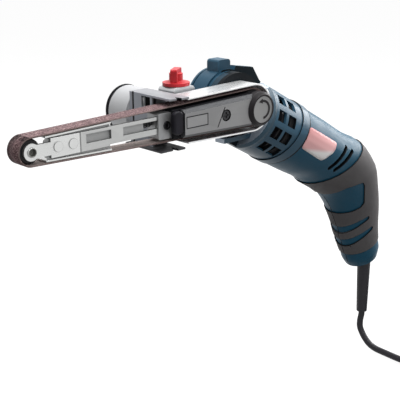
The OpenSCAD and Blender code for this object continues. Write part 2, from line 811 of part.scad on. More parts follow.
// Gear head: drum, neck, a boss on top and a shoulder that leads to the motor
shoulder_l = 27.5;
shoulder_low_share = 0.3;
shoulder_shares = [[-0.15, 1.03], [0.5, 1.257], [0.93, 1.03], [1, 1.014]];
drum_chamfer = 1.6;
gear_room_d = 38;
pinion_room_d = 18;
pinion_back = 1.4;
shaft_room = 0.6;
shaft_neck_share = 0.8;
shaft_neck_d = shaft_d * shaft_neck_share;
motor_bearing_w = 7;
motor_bearing_z = 25;
boss_x0 = -8;
boss_x1 = 5;
boss_top = 32.6;
boss_back = 0.7;
boss_w = 12;
boss_round = 2.4;
spindle_room = 2;
far_room = 2;
far_room_y0 = motor_offset + far_room;
hub_d = 25;
hub_l = 2.7;
module gear_head() {
    r = drum_d / 2;
    y0 = drum_y0 + boss_back;
    color("#1f4a63") at_spindle() difference() {
        union() {
            along_y(neck_d, neck_y0, drum_y0 + over);
            along_y(collar_d - 2 * run_gap, flange_y0, drum_y0 + over);
            translate([0, drum_y0, 0]) rotate([-90, 0, 0]) rotate_extrude() polygon([[0, 0], [r, 0],
                [r, drum_w - drum_chamfer], [r - drum_chamfer, drum_w], [0, drum_w]]);
            intersection() {
                translate([0, motor_offset, 0]) rotate([0, 90 + motor_tilt, 0]) {
                    translate([0, 0, shoulder_l * shoulder_low_share])
                        cylinder(r = housing_r, h = shoulder_l * (1 - shoulder_low_share));
                    intersection() {
                        rotate_extrude() polygon(concat([[0, shoulder_l * shoulder_shares[0][0]]],
                            [for (p = shoulder_shares) [p[1] * housing_r, p[0] * shoulder_l]],
                            [[0, shoulder_l]]));
                        block([-housing_d, -housing_d, -shoulder_l], [0, housing_d, 2 * shoulder_l]);
                    }
                }
                block([-housing_d, drum_y0, -housing_d], [housing_d, drum_y1, housing_d]);
            }
            side(y0, y0 + boss_w) round_rect([boss_x0, 0], [boss_x1, boss_top], boss_round);
        }
        along_y(gear_room_d, far_room_y0, drum_y1 + over);
        along_y(spindle_d + 2 * spindle_room, neck_y0 - over, drum_y1);
        along_y(bearing_d + 2 * seat_gap, neck_bearing_y0, far_room_y0 + over);
        translate([0, motor_offset, 0]) rotate([0, 90 + motor_tilt, 0]) {
            cylinder(d = pinion_room_d, h = mesh_out + pinion_back);
            cylinder(d = shaft_neck_d + 2 * shaft_room, h = shoulder_l + over);
            translate([0, 0, shoulder_l - hub_l - seat_gap]) cylinder(d = hub_d + 2 * seat_gap, h = shoulder_l);
        }
        for (p = gear_screw_places) translate([p.x, drum_y1 - gear_screw_l, p.y])
            along_y(gear_screw_d, 0, gear_screw_l + over);
    }
}

// Plate between the gear head and the housing: it carries the motor's front bearing.
// A lip below it keeps hands off the clamp
mouth_l = 32;
plate_chamfer = 2;
lip_x0 = -12;
lip_x1 = 20;
lip_y0 = 11;
lip_z = -25.6;
lip_t = 3.6;
module bearing_plate() {
    r = housing_r;
    color("#8b949c") at_spindle() difference() {
        union() {
            translate([0, motor_offset, 0]) rotate([0, 90 + motor_tilt, 0]) rotate_extrude()
                polygon([[0, shoulder_l - hub_l], [hub_d / 2, shoulder_l - hub_l], [hub_d / 2, shoulder_l],
                    [r - plate_chamfer, shoulder_l], [r, shoulder_l + plate_chamfer], [r, mouth_l],
                    [0, mouth_l]]);
            block([lip_x0, lip_y0, lip_z - lip_t], [lip_x1, drum_y0 - run_gap, lip_z]);
        }
        translate([0, motor_offset, 0]) rotate([0, 90 + motor_tilt, 0]) {
            translate([0, 0, motor_bearing_z]) cylinder(d = bearing_d + 2 * seat_gap, h = mouth_l);
            cylinder(d = pinion_room_d, h = mouth_l);
        }
    }
}

// Cover on the far side of the gear head
gear_cover_t = 3;
gear_cover_d = 50;
gear_cover_round = 1;
gear_screw_d = 2.6;
gear_screw_l = 9;
gear_screw_r = 22;
gear_head_screw_d = 4.4;
gear_head_screw_t = 1.5;
gear_screw_places = [for (a = [45 : 90 : 315]) gear_screw_r * [cos(a), sin(a)]];
cover_hub_d = 22;
module gear_cover() {
    far = far_bearing_d + 2 * seat_gap;
    color("#2a2c2f") at_spindle() difference() {
        union() {
            translate([0, drum_y1, 0]) rotate([-90, 0, 0]) {
                cylinder(d = gear_cover_d, h = gear_cover_t - gear_cover_round);
                translate([0, 0, gear_cover_t - gear_cover_round])
                    cylinder(d1 = gear_cover_d, d2 = gear_cover_d - 2 * gear_cover_round, h = gear_cover_round);
            }
            along_y(cover_hub_d, far_bearing_y0, drum_y1 + over);
        }
        along_y(far, far_bearing_y0 - over, far_bearing_y0 + far_bearing_w + seat_gap);
        for (p = gear_screw_places) translate([p.x, drum_y1, p.y]) {
            along_y(gear_screw_d, -over, gear_cover_t);
            along_y(gear_head_screw_d + 2 * seat_gap, gear_cover_t - gear_head_screw_t, gear_cover_t + over);
        }
    }
}
module gear_cover_screws() {
    top = drum_y1 + gear_cover_t;
    shank = gear_screw_d - 2 * seat_gap;
    color("silver") at_spindle() for (p = gear_screw_places) translate([p.x, top, p.y]) mirror([0, 1, 0])
        cross_screw(gear_head_screw_d, gear_head_screw_t, shank, gear_cover_t + gear_screw_l - over);
}

// Front housing: a ribbed vent section and a raised band, cut aslant where the clamshell meets it
housing_r = housing_d / 2;
vent_z0 = 35;
vent_l = 9.6;
vent_w = 9.4;
vent_rows = 2;
vent_pitch = 30;
vent_step = 12.6;
vent_first = -134;
vent_last = -44;
seam_z = 73.2;
seam_lean = 11;
band_l = 9.6;
band_rise = 0.9;
module aslant(z0, l, d) {
    translate([0, 0, z0]) rotate([0, seam_lean, 0]) translate([0, 0, l * cos(seam_lean) / 2])
        cube([2 * d, 2 * d, l * cos(seam_lean)], center = true);
}
module front_housing() {
    r_in = housing_r - housing_wall;
    color("#245470") at_motor() difference() {
        union() {
            translate([0, 0, mouth_l]) intersection() {
                cylinder(r = housing_r, h = seam_z);
                aslant(-mouth_l, seam_z - seat_gap, housing_d);
            }
            intersection() {
                cylinder(r = housing_r + band_rise, h = 2 * seam_z);
                aslant(seam_z - band_l, band_l - seat_gap, housing_d);
            }
        }
        translate([0, 0, mouth_l - over]) cylinder(r = r_in, h = 2 * seam_z);
        for (s = [0, 1], a = [vent_first : vent_pitch : vent_last], i = [0 : vent_rows - 1])
            mirror([0, s, 0]) rotate(a) translate([0, -vent_w / 2, vent_z0 + i * vent_step]) cube([housing_d, vent_w, vent_l]);
    }
}

// Clamshell: oval rings run along the motor's axis and then bend down into the grip.
// Each row is a centre in X and Z from the spindle, the ring's lean, its half depth and its half width.
grip_l = 100;
axis_shares = [[0, 40, 1.02, 1], [0.42, 48, 1.05, 1], [0.74, 58, 1.1, 0.99], [1, 67, 1.28, 0.96]];
axis_l = 71;
grip_shares = [[-0.12, 0.718, 72, 1.18, 0.89], [-0.02, 0.437, 75, 1.03, 0.81], [0.05, 0.156, 74, 0.92, 0.72],
    [0.09, -0.08, 73, 0.82, 0.65], [0.14, -0.24, 70, 0.72, 0.6], [0.17, -0.325, 70, 0.7, 0.61],
    [0.19, -0.405, 72, 0.58, 0.52]];
// Room above the middle of the grip, up to the end of the straight part
grip_up = grip_drop - (seam_z + axis_l) * sin(motor_tilt);
function grip_z(share) = share * (share > 0 ? grip_up : grip_l);
grip_from = 3;
grip_to = 8;
body_rows = concat(
    [for (s = axis_shares) let (q = seam_z + s[0] * axis_l)
        [q * cos(motor_tilt), -q * sin(motor_tilt), s[1], s[2] * housing_r, s[3] * housing_r]],
    [for (s = grip_shares)
        [grip_back + s[0] * grip_l, -grip_drop + grip_z(s[1]), s[2], s[3] * housing_r, s[4] * housing_r]]);
body_last = len(body_rows) - 1;
// A smooth row at any place between the given ones
function row_at(u) = let (i = min(floor(u), body_last - 1), t = u - i, p1 = body_rows[i], p2 = body_rows[i + 1],
    p0 = i > 0 ? body_rows[i - 1] : 2 * p1 - p2, p3 = i + 2 > body_last ? 2 * p2 - p1 : body_rows[i + 2])
    (2 * p1 + (p2 - p0) * t + (2 * p0 - 5 * p1 + 4 * p2 - p3) * t * t
        + (3 * p1 - 3 * p2 + p3 - p0) * t * t * t) / 2;
ring_steps = 3;
ring_sides = 14;
// Half a ring on one side of the parting plane, s is 1 on the far side and -1 on the near side
function half_ring(row, s) = [for (k = [0 : ring_sides]) let (t = 180 * k / ring_sides)
    [row[0] + row[3] * cos(t) * sin(row[2]), motor_offset + s * row[4] * sin(t),
        row[1] + row[3] * cos(t) * cos(row[2])]];
function grown(row, g) = [row[0], row[1], row[2], row[3] + g, row[4] + g];
function turned(f) = [for (i = [len(f) - 1 : -1 : 0]) f[i]];
// A shell between matching outer and inner half rings
module half_shell(outer, inner, s) {
    n = ring_sides + 1;
    m = 2 * n;
    rows = len(outer);
    points = [for (i = [0 : rows - 1]) each concat(half_ring(outer[i], s), turned(half_ring(inner[i], s)))];
    walls = [for (i = [0 : rows - 2], k = [0 : m - 1]) let (a = i * m + k, b = i * m + (k + 1) % m)
        each [[a, b, a + m], [b, b + m, a + m]]];
    first = [for (k = [0 : ring_sides - 1]) each [[k, m - 1 - k, k + 1], [k + 1, m - 1 - k, m - 2 - k]]];
    e = (rows - 1) * m;
    last = [for (f = first) turned([for (v = f) v + e])];
    faces = concat(walls, first, last);
    polyhedron(points = points, faces = s > 0 ? faces : [for (f = faces) turned(f)]);
}

floor_rings = 2;
boss_d = 7;
boss_bore = 2.6;
boss_deep = 15;
body_screw_d = 3;
body_head_d = 6;
body_head_t = 2;
body_head_sink = 4.4;
screw_stations = [3.1, 5, 6.6, 8.3];
module body_half(s) {
    us = [for (i = [0 : body_last * ring_steps]) i / ring_steps];
    outer = [for (u = us) row_at(u)];
    inner = [for (i = [0 : len(us) - 1]) i < len(us) - floor_rings ? grown(outer[i], -housing_wall) :
        [grip_back + relief_x, outer[i][1], 90, relief_top_d / 2 + seat_gap, relief_top_d / 2 + seat_gap]];
    half_shell(outer, inner, s);
    for (u = screw_stations) let (r = row_at(u)) translate([r[0], motor_offset, r[1]])
        if (s > 0) along_y(boss_d, 0, r[4] - housing_wall / 2);
        else along_y(boss_d, -r[4] + housing_wall / 2, 0);
}
module screw_room(d) {
    for (u = screw_stations) let (r = row_at(u)) translate([r[0], motor_offset, r[1]])
        along_y(d, r[4] - body_head_sink, r[4] + body_head_sink);
}
module body_right() {
    color("#245470") difference() {
        at_spindle() body_half(1);
        at_spindle() screw_room(body_head_d + 2 * seat_gap);
        at_spindle() for (u = screw_stations) let (r = row_at(u)) translate([r[0], motor_offset, r[1]])
            along_y(body_screw_d + 2 * seat_gap, -over, r[4]);
        at_motor() block([-button_stem_w / 2 - run_gap, stator_d / 2, button_z - button_stem_l / 2 - run_gap],
            [button_stem_w / 2 + run_gap, housing_d, button_z + button_stem_l / 2 + button_travel + run_gap]);
        vent_slots(1);
    }
}
module body_left() {
    color("#245470") difference() {
        at_spindle() body_half(-1);
        at_spindle() for (u = screw_stations) let (r = row_at(u)) translate([r[0], motor_offset, r[1]])
            along_y(boss_bore, -boss_deep, over);
        vent_slots(-1);
    }
}

// Two slots beside each other in front of the grip, parallel to its edge
slot_first_u = 1.95;
slot_step_u = 0.46;
slot_w = 3.2;
slot_half_l = 14.4;
slot_drop = 0.6;
module vent_slots(s) {
    at_spindle() for (i = [0, 1]) let (r = row_at(slot_first_u + i * slot_step_u))
        translate([r[0], motor_offset, r[1]]) rotate([0, r[2], 0]) translate([0, 0, slot_drop])
            rotate([s > 0 ? -90 : 90, 0, 0]) translate([0, 0, slot_w])
                linear_extrude(housing_d) round_rect([-slot_w / 2, -slot_half_l], [slot_w / 2, slot_half_l],
                    slot_w / 2 - seat_gap);
}

// Soft grip over each half, open at a window and two grooves towards the front
panel_shares = [[-0.6, 0.39], [-0.42, 0.568], [-0.333, 0.657], [-0.207, 0.693], [-0.15, 0.694], [-0.125, 0.64],
    [-0.105, 0.499], [-0.087, 0.37], [-0.11, 0.315], [-0.184, 0.256], [-0.253, 0.222], [-0.6, 0.19]];
groove_shares = [[-0.35, -0.124], [-0.139, 0.024], [-0.07, 0.064], [0, 0.088], [0.02, 0.082], [0.016, 0.064],
    [-0.058, 0.017], [-0.123, -0.035], [-0.35, -0.29]];
groove_step_shares = [0.077, -0.117];
module grip_half(s) {
    n = round((grip_to - grip_from) * ring_steps);
    rows = [for (i = [0 : n]) row_at(grip_from + (grip_to - grip_from) * i / n)];
    y0 = s > 0 ? motor_offset - over : motor_offset - housing_d;
    color("#3a3734") at_spindle() difference() {
        half_shell([for (r = rows) grown(r, grip_t)], [for (r = rows) grown(r, seat_gap)], s);
        translate([grip_back, 0, -grip_drop]) side(y0, y0 + housing_d + over) {
            polygon([for (p = panel_shares) [p.x * grip_l, grip_z(p.y)]]);
            for (i = [0, 1]) translate(grip_l * i * groove_step_shares) polygon(grip_l * groove_shares);
        }
        if (s > 0) screw_room(body_head_d + 2 * seat_gap);
    }
}
module grip_left() {
    grip_half(-1);
}
module grip_right() {
    grip_half(1);
}
module body_screws() {
    color("dimgray") at_spindle() for (u = screw_stations)
        let (r = row_at(u), top = r[4] - body_head_sink + body_head_t)
        translate([r[0], motor_offset + top, r[1]]) mirror([0, 1, 0])
            cross_screw(body_head_d, body_head_t, boss_bore - 2 * seat_gap, top + boss_deep - over);
}

// Motor: shaft, fan, core, commutator, stator, bearings and brushes along one axis
shaft_z0 = mesh_out;
shaft_z1 = 126;
fan_d = housing_d - 2 * housing_wall - 2 * fan_room;
fan_z = 37;
fan_l = 10;
fan_disc_t = 1.6;
fan_hub_d = 14;
fan_blades = 11;
fan_blade_t = 1.4;
core_z = 53;
core_slots = 12;
core_slot_w = 2.4;
core_slot_deep = 6;
commutator_d = 18;
commutator_z = 99;
commutator_l = 14;
commutator_slot = 0.6;
commutator_bars = 12;
commutator_cut = 1;
module ring_z(d, bore, z0, l) {
    translate([0, 0, z0]) difference() {
        cylinder(d = d, h = l);
        translate([0, 0, -over]) cylinder(d = bore, h = l + 2 * over);
    }
}
module motor_shaft() {
    color("lightgray") at_motor() {
        translate([0, 0, shaft_z0]) cylinder(d = shaft_neck_d, h = motor_bearing_z - shaft_z0 + over);
        translate([0, 0, motor_bearing_z]) cylinder(d = shaft_d, h = shaft_z1 - motor_bearing_z);
    }
}
module cooling_fan() {
    color("#3b3d40") at_motor() {
        ring_z(fan_d, shaft_d + 2 * seat_gap, fan_z + fan_l - fan_disc_t, fan_disc_t);
        ring_z(fan_hub_d, shaft_d + 2 * seat_gap, fan_z, fan_l);
        for (i = [0 : fan_blades - 1]) rotate(360 * i / fan_blades)
            translate([fan_hub_d / 2 - fan_blade_t / 2, -fan_blade_t / 2, fan_z])
                cube([(fan_d - fan_hub_d) / 2 - fan_blade_t, fan_blade_t, fan_l]);
    }
}
module armature_core() {
    color("#7c6a58") at_motor() difference() {
        ring_z(armature_d, shaft_d + 2 * seat_gap, core_z, core_l);
        for (i = [0 : core_slots - 1]) rotate(360 * i / core_slots)
            translate([armature_d / 2 - core_slot_deep, -core_slot_w / 2, core_z - over])
                cube([core_slot_deep + over, core_slot_w, core_l + 2 * over]);
    }
}
module commutator() {
    color("#b87333") at_motor() difference() {
        ring_z(commutator_d, shaft_d + 2 * seat_gap, commutator_z, commutator_l);
        for (i = [0 : commutator_bars - 1]) rotate(360 * i / commutator_bars)
            translate([commutator_d / 2 - commutator_cut, -commutator_slot / 2, commutator_z - over])
                cube([over + commutator_cut, commutator_slot, commutator_l + 2 * over]);
    }
}

stator_d = housing_d - 2 * housing_wall - 2 * run_gap;
stator_ring_share = 0.442;
stator_ring_w = (stator_d - armature_d) / 2 * stator_ring_share;
air_gap = 0.6;
pole_angle = 116;
coil_gap = 0.4;
coil_out = 4;
coil_angle = 6;
sector_steps = 8;
module sector(d, a) {
    polygon(concat([[0, 0]], [for (i = [0 : sector_steps]) let (t = a * (i / sector_steps - 1 / 2))
        d * [cos(t), sin(t)]]));
}
module stator_core() {
    color("#5d6166") at_motor() translate([0, 0, core_z]) linear_extrude(core_l) difference() {
        circle(d = stator_d);
        circle(d = armature_d + 2 * air_gap);
        difference() {
            circle(d = stator_d - 2 * stator_ring_w);
            for (a = [0, 180]) rotate(a) sector(stator_d, pole_angle);
        }
    }
}
module stator_coils() {
    d = stator_d - 2 * stator_ring_w - 2 * coil_gap;
    color("#a3542b") at_motor() translate([0, 0, core_z - coil_out])
        linear_extrude(core_l + 2 * coil_out) difference() {
            circle(d = d);
            circle(d = armature_d + 2 * air_gap + 2 * coil_gap);
            for (a = [0, 180]) rotate(a) sector(stator_d, pole_angle + coil_angle);
        }
}

rear_bearing_z = 117;
module motor_bearings() {
    bore = shaft_d + 2 * fit_gap;
    color("lightslategray") at_motor() for (z = [motor_bearing_z, rear_bearing_z])
        ring_z(bearing_d, bore, z, motor_bearing_w);
}

// Plate that carries the rear bearing, open for the air
end_plate_w = 5;
end_hole_share = 0.64;
end_holes = 6;
module end_plate() {
    z0 = rear_bearing_z + motor_bearing_w - end_plate_w;
    d = 2 * (axis_shares[len(axis_shares) - 1][3] * housing_r - housing_wall - 2 * run_gap);
    color("#2f3235") at_motor() difference() {
        ring_z(d, bearing_d + 2 * seat_gap, z0, end_plate_w);
        for (i = [1 : end_holes]) rotate(360 * i / end_holes) translate([(d + bearing_d) / 4, 0, z0 - over])
            cylinder(d = (d - bearing_d) / 2 * end_hole_share, h = end_plate_w + 2 * over);
    }
}

brush_w = 5;
brush_h = 7;
brush_l = 9;
brush_gap = 0.3;
holder_wall = 1;
brush_z = commutator_z + commutator_l / 2;
module brush_holders() {
    color("#b59a4c") at_motor() for (s = [1, -1]) difference() {
        block_x(s, commutator_d / 2 + 2 * brush_gap, stator_d / 2 - holder_wall, brush_w + 2 * holder_wall,
            brush_h + 2 * holder_wall);
        block_x(s, commutator_d / 2, stator_d / 2 - 2 * holder_wall, brush_w + 2 * seat_gap,
            brush_h + 2 * seat_gap);
    }
}
// A block along the motor's X, on the side given by s, centred on the brushes
module block_x(s, r0, r1, w, h) {
    translate([s * (r0 + r1) / 2, 0, brush_z]) cube([r1 - r0, w, h], center = true);
}
module carbon_brushes() {
    color("#2a2a2a") at_motor() for (s = [1, -1])
        block_x(s, commutator_d / 2 + brush_gap, commutator_d / 2 + brush_gap + brush_l, brush_w, brush_h);
}

// Slide switch on the far side: a ribbed button over a slot, its stem above the switch
button_l = 22;
button_w = 13;
button_h = 3.2;
button_stem_w = 5;
button_stem_l = 7;
button_travel = 6;
button_z = 98;
button_round = 3;
button_ribs = 5;
button_rib_w = 1.2;
button_rib_h = 0.8;
button_lift = 0.5;
switch_w = 12;
switch_l = 16;
switch_in = 11.5;
module switch_button() {
    y0 = housing_r + button_lift;
    color("#1b1c1e") at_motor() {
        translate([0, 0, button_z]) rotate([-90, 0, 0]) translate([0, 0, y0]) linear_extrude(button_h)
            round_rect([-button_w / 2, -button_l / 2], [button_w / 2, button_l / 2], button_round);
        for (i = [0 : button_ribs - 1]) let (z = button_z + (i - (button_ribs - 1) / 2) * 2 * button_rib_w)
            block([-button_w / 2 + button_round, y0 + button_h - over, z - button_rib_w / 2],
                [button_w / 2 - button_round, y0 + button_h + button_rib_h, z + button_rib_w / 2]);
        block([-button_stem_w / 2, stator_d / 2 - button_lift, button_z - button_stem_l / 2],
            [button_stem_w / 2, y0 + over, button_z + button_stem_l / 2]);
    }
}
module switch_block() {
    y1 = sqrt(pow(stator_d / 2, 2) - pow(switch_w / 2, 2)) - button_lift;
    color("#222326") at_motor() block([-switch_w / 2, switch_in, commutator_z - over],
        [switch_w / 2, y1, commutator_z - over + switch_l]);
}

// Clamp that holds the cord inside the grip
cord_clamp_l = 9.4;
cord_clamp_w = 11.6;
cord_clamp_h = 5;
cord_clamp_gap = 4;
cord_clamp_round = 2;
module cord_clamp() {
    l = cord_clamp_l / 2;
    w = cord_clamp_w / 2;
    z = relief_low + relief_l + relief_in + cord_clamp_gap;
    color("#303236") translate([relief_x, 0, z]) linear_extrude(cord_clamp_h) difference() {
        round_rect([-l, -w], [l, w], cord_clamp_round);
        circle(d = cord_d + 2 * seat_gap);
    }
}

// End of the cord inside the grip, from the strain relief up through the clamp
inner_cord_l = 26;
module inner_cord() {
    color("#232425") translate([relief_x, 0, relief_low + relief_l]) cylinder(d = cord_d, h = inner_cord_l);
}

// Strain relief: a tapered sleeve, from inside the grip down
relief_top_d = 12.4;
relief_end_d = 10;
relief_in = 9;
relief_x_share = 0.24;
relief_in_share = 0.49;
relief_x = grip_l * relief_x_share;
relief_low = -grip_l * relief_in_share - relief_l;
relief_bore = cord_d + 2 * seat_gap;
module strain_relief() {
    color("#1a1b1c") translate([relief_x, 0, relief_low]) difference() {
        union() {
            cylinder(d1 = relief_end_d, d2 = relief_top_d, h = relief_l);
            translate([0, 0, relief_l]) cylinder(d = relief_top_d, h = relief_in);
        }
        translate([0, 0, relief_l]) cylinder(d = relief_bore, h = relief_in + over);
    }
}

// Free stretch of the cord from the strain relief's end: down, round on to the bench and out to the coil
cord_steps = [[0, 0, 0], [0, 0, -4], [-1, 0.5, -10.5], [-2, -0.5, -16.5], [-2.5, -4, -22], [-3, -8.5, -26.5],
    [-3.5, -14, -30], [-3.5, -20.5, -32], [-3.5, -27.5, -32.5], [-4, -38, -32.5], [-4.3, -48, -32.5],
    [-3.4, -56.3, -32.5], [-0.5, -64, -32.5], [4.2, -70.4, -32.5], [10.4, -75.2, -32.5], [23.4, -82.7, -32.5],
    [36.4, -90.2, -32.5], [49.4, -97.7, -32.5]];
cord_route = [for (p = cord_steps) [relief_x, 0, relief_low] + p];
cord_sides = 10;
module cord() {
    color("#232425") tube(cord_route, cord_d / 2, cord_sides);
}

// The rest of the cord, coiled in three layers: in along the bench, out above it, in again, then up to the plug
coil_turns = 3;
coil_layers = 3;
coil_step = 6.6;
coil_in_r = 24;
coil_out_r = coil_in_r + coil_turns * coil_step;
coil_rings = 24;
coil_sides = 6;
coil_from = 60;
coil_tail = 120;
coil_start = cord_route[len(cord_route) - 1];
coil_mid = coil_start + coil_out_r * [cos(coil_from), sin(coil_from), 0];
climb_dip = coil_step / (2 * PI);
wind_layer = 360 * coil_turns;
wind_lap = wind_layer + 180;
coil_top = (coil_layers - 1) * coil_step;
plug_t = 13.2;
plug_rise = cord_d / 2 + plug_t / 2 + 2 * seat_gap;
function coil_flat(w, r, z) = coil_mid + [-r * cos(coil_from + w), -r * sin(coil_from + w), z];
function climb(c) = (1 - cos(c)) / 2;
// Place after turning by w
function coil_point(w) = let (i = min(floor(w / wind_lap), coil_layers - 1), c = w - i * wind_lap,
    inward = i % 2 == 0, k = c - wind_layer, last = i == coil_layers - 1, t = last ? 180 * k / coil_tail : k)
    c <= wind_layer ?
        coil_flat(w, inward ? coil_out_r - coil_step * c / 360 : coil_in_r + coil_step * c / 360,
            i * coil_step) :
        coil_flat(w, inward ? coil_in_r - climb_dip * sin(t) : coil_out_r + climb_dip * sin(t),
            i * coil_step + climb(t) * (last ? plug_rise : coil_step));
coil_last = coil_layers * wind_lap - 180 + coil_tail;
coil_steps = round(coil_last / 360 * coil_rings);
coil_loops = [for (i = [1 : coil_steps]) coil_point(coil_last * i / coil_steps)];
coil_end = coil_loops[coil_steps - 1] + [0, cord_d, 0];
coil_lead = coil_start + 2 * run_gap * [sin(coil_from), -cos(coil_from), 0];
coil_path = concat([coil_lead], coil_loops, [coil_end - [0, seat_gap, 0]]);
module cord_coil() {
    echo(least_gap_of_coil = least_gap(coil_path, coil_rings / 2, cord_d));
    color("#232425") tube(coil_path, cord_d / 2, coil_sides);
}

// Tie round the coil
tie_w = 8;
tie_t = 1;
tie_room = 0.8;
tie_round = 2.4;
module coil_tie() {
    low = [coil_in_r - cord_d / 2 - tie_room, -cord_d / 2 - tie_room / 2];
    high = [coil_out_r + cord_d / 2 + tie_room, coil_top + cord_d / 2 + tie_room / 2];
    t = [tie_t, tie_t];
    color("#111213") translate(coil_mid + [-tie_w / 2, 0, 0]) rotate([90, 0, 90]) linear_extrude(tie_w)
        difference() {
            round_rect(low - t, high + t, tie_round);
            round_rect(low, high, tie_round - tie_t);
        }
}

// Flat two-pin plug, lying on the coil
plug_l = 34;
plug_w = 33;
plug_nose_w = 12;
plug_front = 7;
plug_round = 3;
plug_waist_share = 0.62;
pin_d = 4;
pin_l = 19;
pin_pitch = 18.6;
pin_in = 3;
module plug_outline() {
    w = plug_w / 2;
    n = plug_nose_w / 2;
    f = plug_front / 2;
    waist = plug_l * plug_waist_share;
    polygon([[-n, 0], [n, 0], [w, waist], [w, plug_l - f], [w - f, plug_l], [-w + f, plug_l], [-w, plug_l - f],
        [-w, waist]]);
}
module plug_body() {
    t = plug_t / 2;
    color("#161718") translate(coil_end) difference() {
        union() {
            translate([0, 0, -t + plug_round]) linear_extrude(plug_t - 2 * plug_round) plug_outline();
            hull() {
                translate([0, 0, -t + plug_round]) linear_extrude(plug_t - 2 * plug_round) plug_outline();
                translate([0, 0, -t]) linear_extrude(plug_t) scale_in() plug_outline();
            }
        }
        for (s = [-1, 1]) translate([s * pin_pitch / 2, 0, 0])
            along_y(pin_d + 2 * seat_gap, plug_l - pin_in, plug_l + over);
    }
}
// Draws the plug's outline in towards its middle, for rounded edges
module scale_in() {
    k = 1 - 2 * plug_round / plug_w;
    translate([0, plug_l * (1 - k) / 2]) scale(k) children();
}
module plug_pins() {
    color("goldenrod") translate(coil_end) for (s = [-1, 1]) translate([s * pin_pitch / 2, 0, 0])
        along_y(pin_d, plug_l - pin_in, plug_l + pin_l);
}

sanding_belt();
front_roller();
roller_pin();
front_bar();
platen();
platen_rivets();
guide_block();
block_screw();
tension_rod();
tension_spring();
arm_base();
arm_nose();
arm_cover();
cover_screw();
pulley_cap();
belt_guard();
dust_hood();
dust_port();
port_lip();
clamp_collar();
wing_knob();
clamp_screw();
drive_pulley();
pulley_screw();
spindle();
bevel_gear();
spindle_bearings();
gear_head();
gear_cover();
gear_cover_screws();
bearing_plate();
front_housing();
body_left();
body_right();
grip_left();
grip_right();
body_screws();
pinion();
motor_shaft();
cooling_fan();
armature_core();
commutator();
stator_core();
stator_coils();
motor_bearings();
end_plate();
brush_holders();
carbon_brushes();
switch_button();
switch_block();
cord_clamp();
inner_cord();
strain_relief();
cord();
cord_coil();
coil_tie();
plug_body();
plug_pins();
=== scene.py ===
import json
import math

import bmesh
import bpy
from mathutils import Matrix, Vector
from mathutils.bvhtree import BVHTree
from mathutils.geometry import delaunay_2d_cdt


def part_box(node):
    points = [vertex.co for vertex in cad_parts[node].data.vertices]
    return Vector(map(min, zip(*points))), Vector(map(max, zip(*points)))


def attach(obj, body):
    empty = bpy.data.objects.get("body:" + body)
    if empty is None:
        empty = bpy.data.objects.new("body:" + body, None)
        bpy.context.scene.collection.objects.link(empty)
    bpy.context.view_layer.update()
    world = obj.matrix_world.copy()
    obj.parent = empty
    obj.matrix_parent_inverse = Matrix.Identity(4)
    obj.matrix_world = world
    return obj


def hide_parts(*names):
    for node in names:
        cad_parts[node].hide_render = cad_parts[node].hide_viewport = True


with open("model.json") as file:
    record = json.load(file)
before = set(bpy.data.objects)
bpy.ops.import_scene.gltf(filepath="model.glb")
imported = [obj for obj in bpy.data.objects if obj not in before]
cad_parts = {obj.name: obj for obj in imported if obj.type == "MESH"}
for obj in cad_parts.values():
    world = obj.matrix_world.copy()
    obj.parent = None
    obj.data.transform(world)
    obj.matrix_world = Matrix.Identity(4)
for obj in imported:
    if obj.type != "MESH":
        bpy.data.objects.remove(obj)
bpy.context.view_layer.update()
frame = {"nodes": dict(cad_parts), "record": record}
nodes = frame["nodes"]
scene = bpy.context.scene
BODY_OF = {}
for body_name, members in frame["record"]["behaviour"]["bodies"].items():
    for member in members:
        BODY_OF[member] = body_name

# Camera at the photograph's viewing angle
IMAGE = 400
FOCAL = 935.83
SENSOR = 36
AZ = math.radians(42.195)
EL = math.radians(17.417)
ROLL = math.radians(-0.546)
EYE = Vector((-0.6495, -0.5117, 0.2770))
back = Vector((-math.sin(AZ) * math.cos(EL), -math.cos(AZ) * math.cos(EL), math.sin(EL)))
right0 = Vector((math.cos(AZ), -math.sin(AZ), 0))
up0 = back.cross(right0)
right = right0 * math.cos(ROLL) + up0 * math.sin(ROLL)
up = up0 * math.cos(ROLL) - right0 * math.sin(ROLL)
cam_data = bpy.data.cameras.new("camera")
cam_data.sensor_width = SENSOR
cam_data.lens = FOCAL / IMAGE * SENSOR
cam_data.clip_start = 0.01
cam = bpy.data.objects.new("camera", cam_data)
cam.matrix_world = Matrix((
    (right.x, up.x, back.x, EYE.x),
    (right.y, up.y, back.y, EYE.y),
    (right.z, up.z, back.z, EYE.z),
    (0, 0, 0, 1)))
scene.collection.objects.link(cam)
scene.camera = cam


# Node material helpers
def lin(r, g, b):
    out = []
    for v in (r, g, b):
        v /= 255
        out.append(v / 12.92 if v <= 0.04045 else ((v + 0.055) / 1.055) ** 2.4)
    return (*out, 1)


def shade(c, f):
    return (min(c[0] * f, 1), min(c[1] * f, 1), min(c[2] * f, 1), 1)


# Pointiness at which an edge starts to look paler, as wear and a painted highlight, and at which it is
# fully so
WEAR_AND_HIGHLIGHT_FROM_TO = (0.52, 0.6)


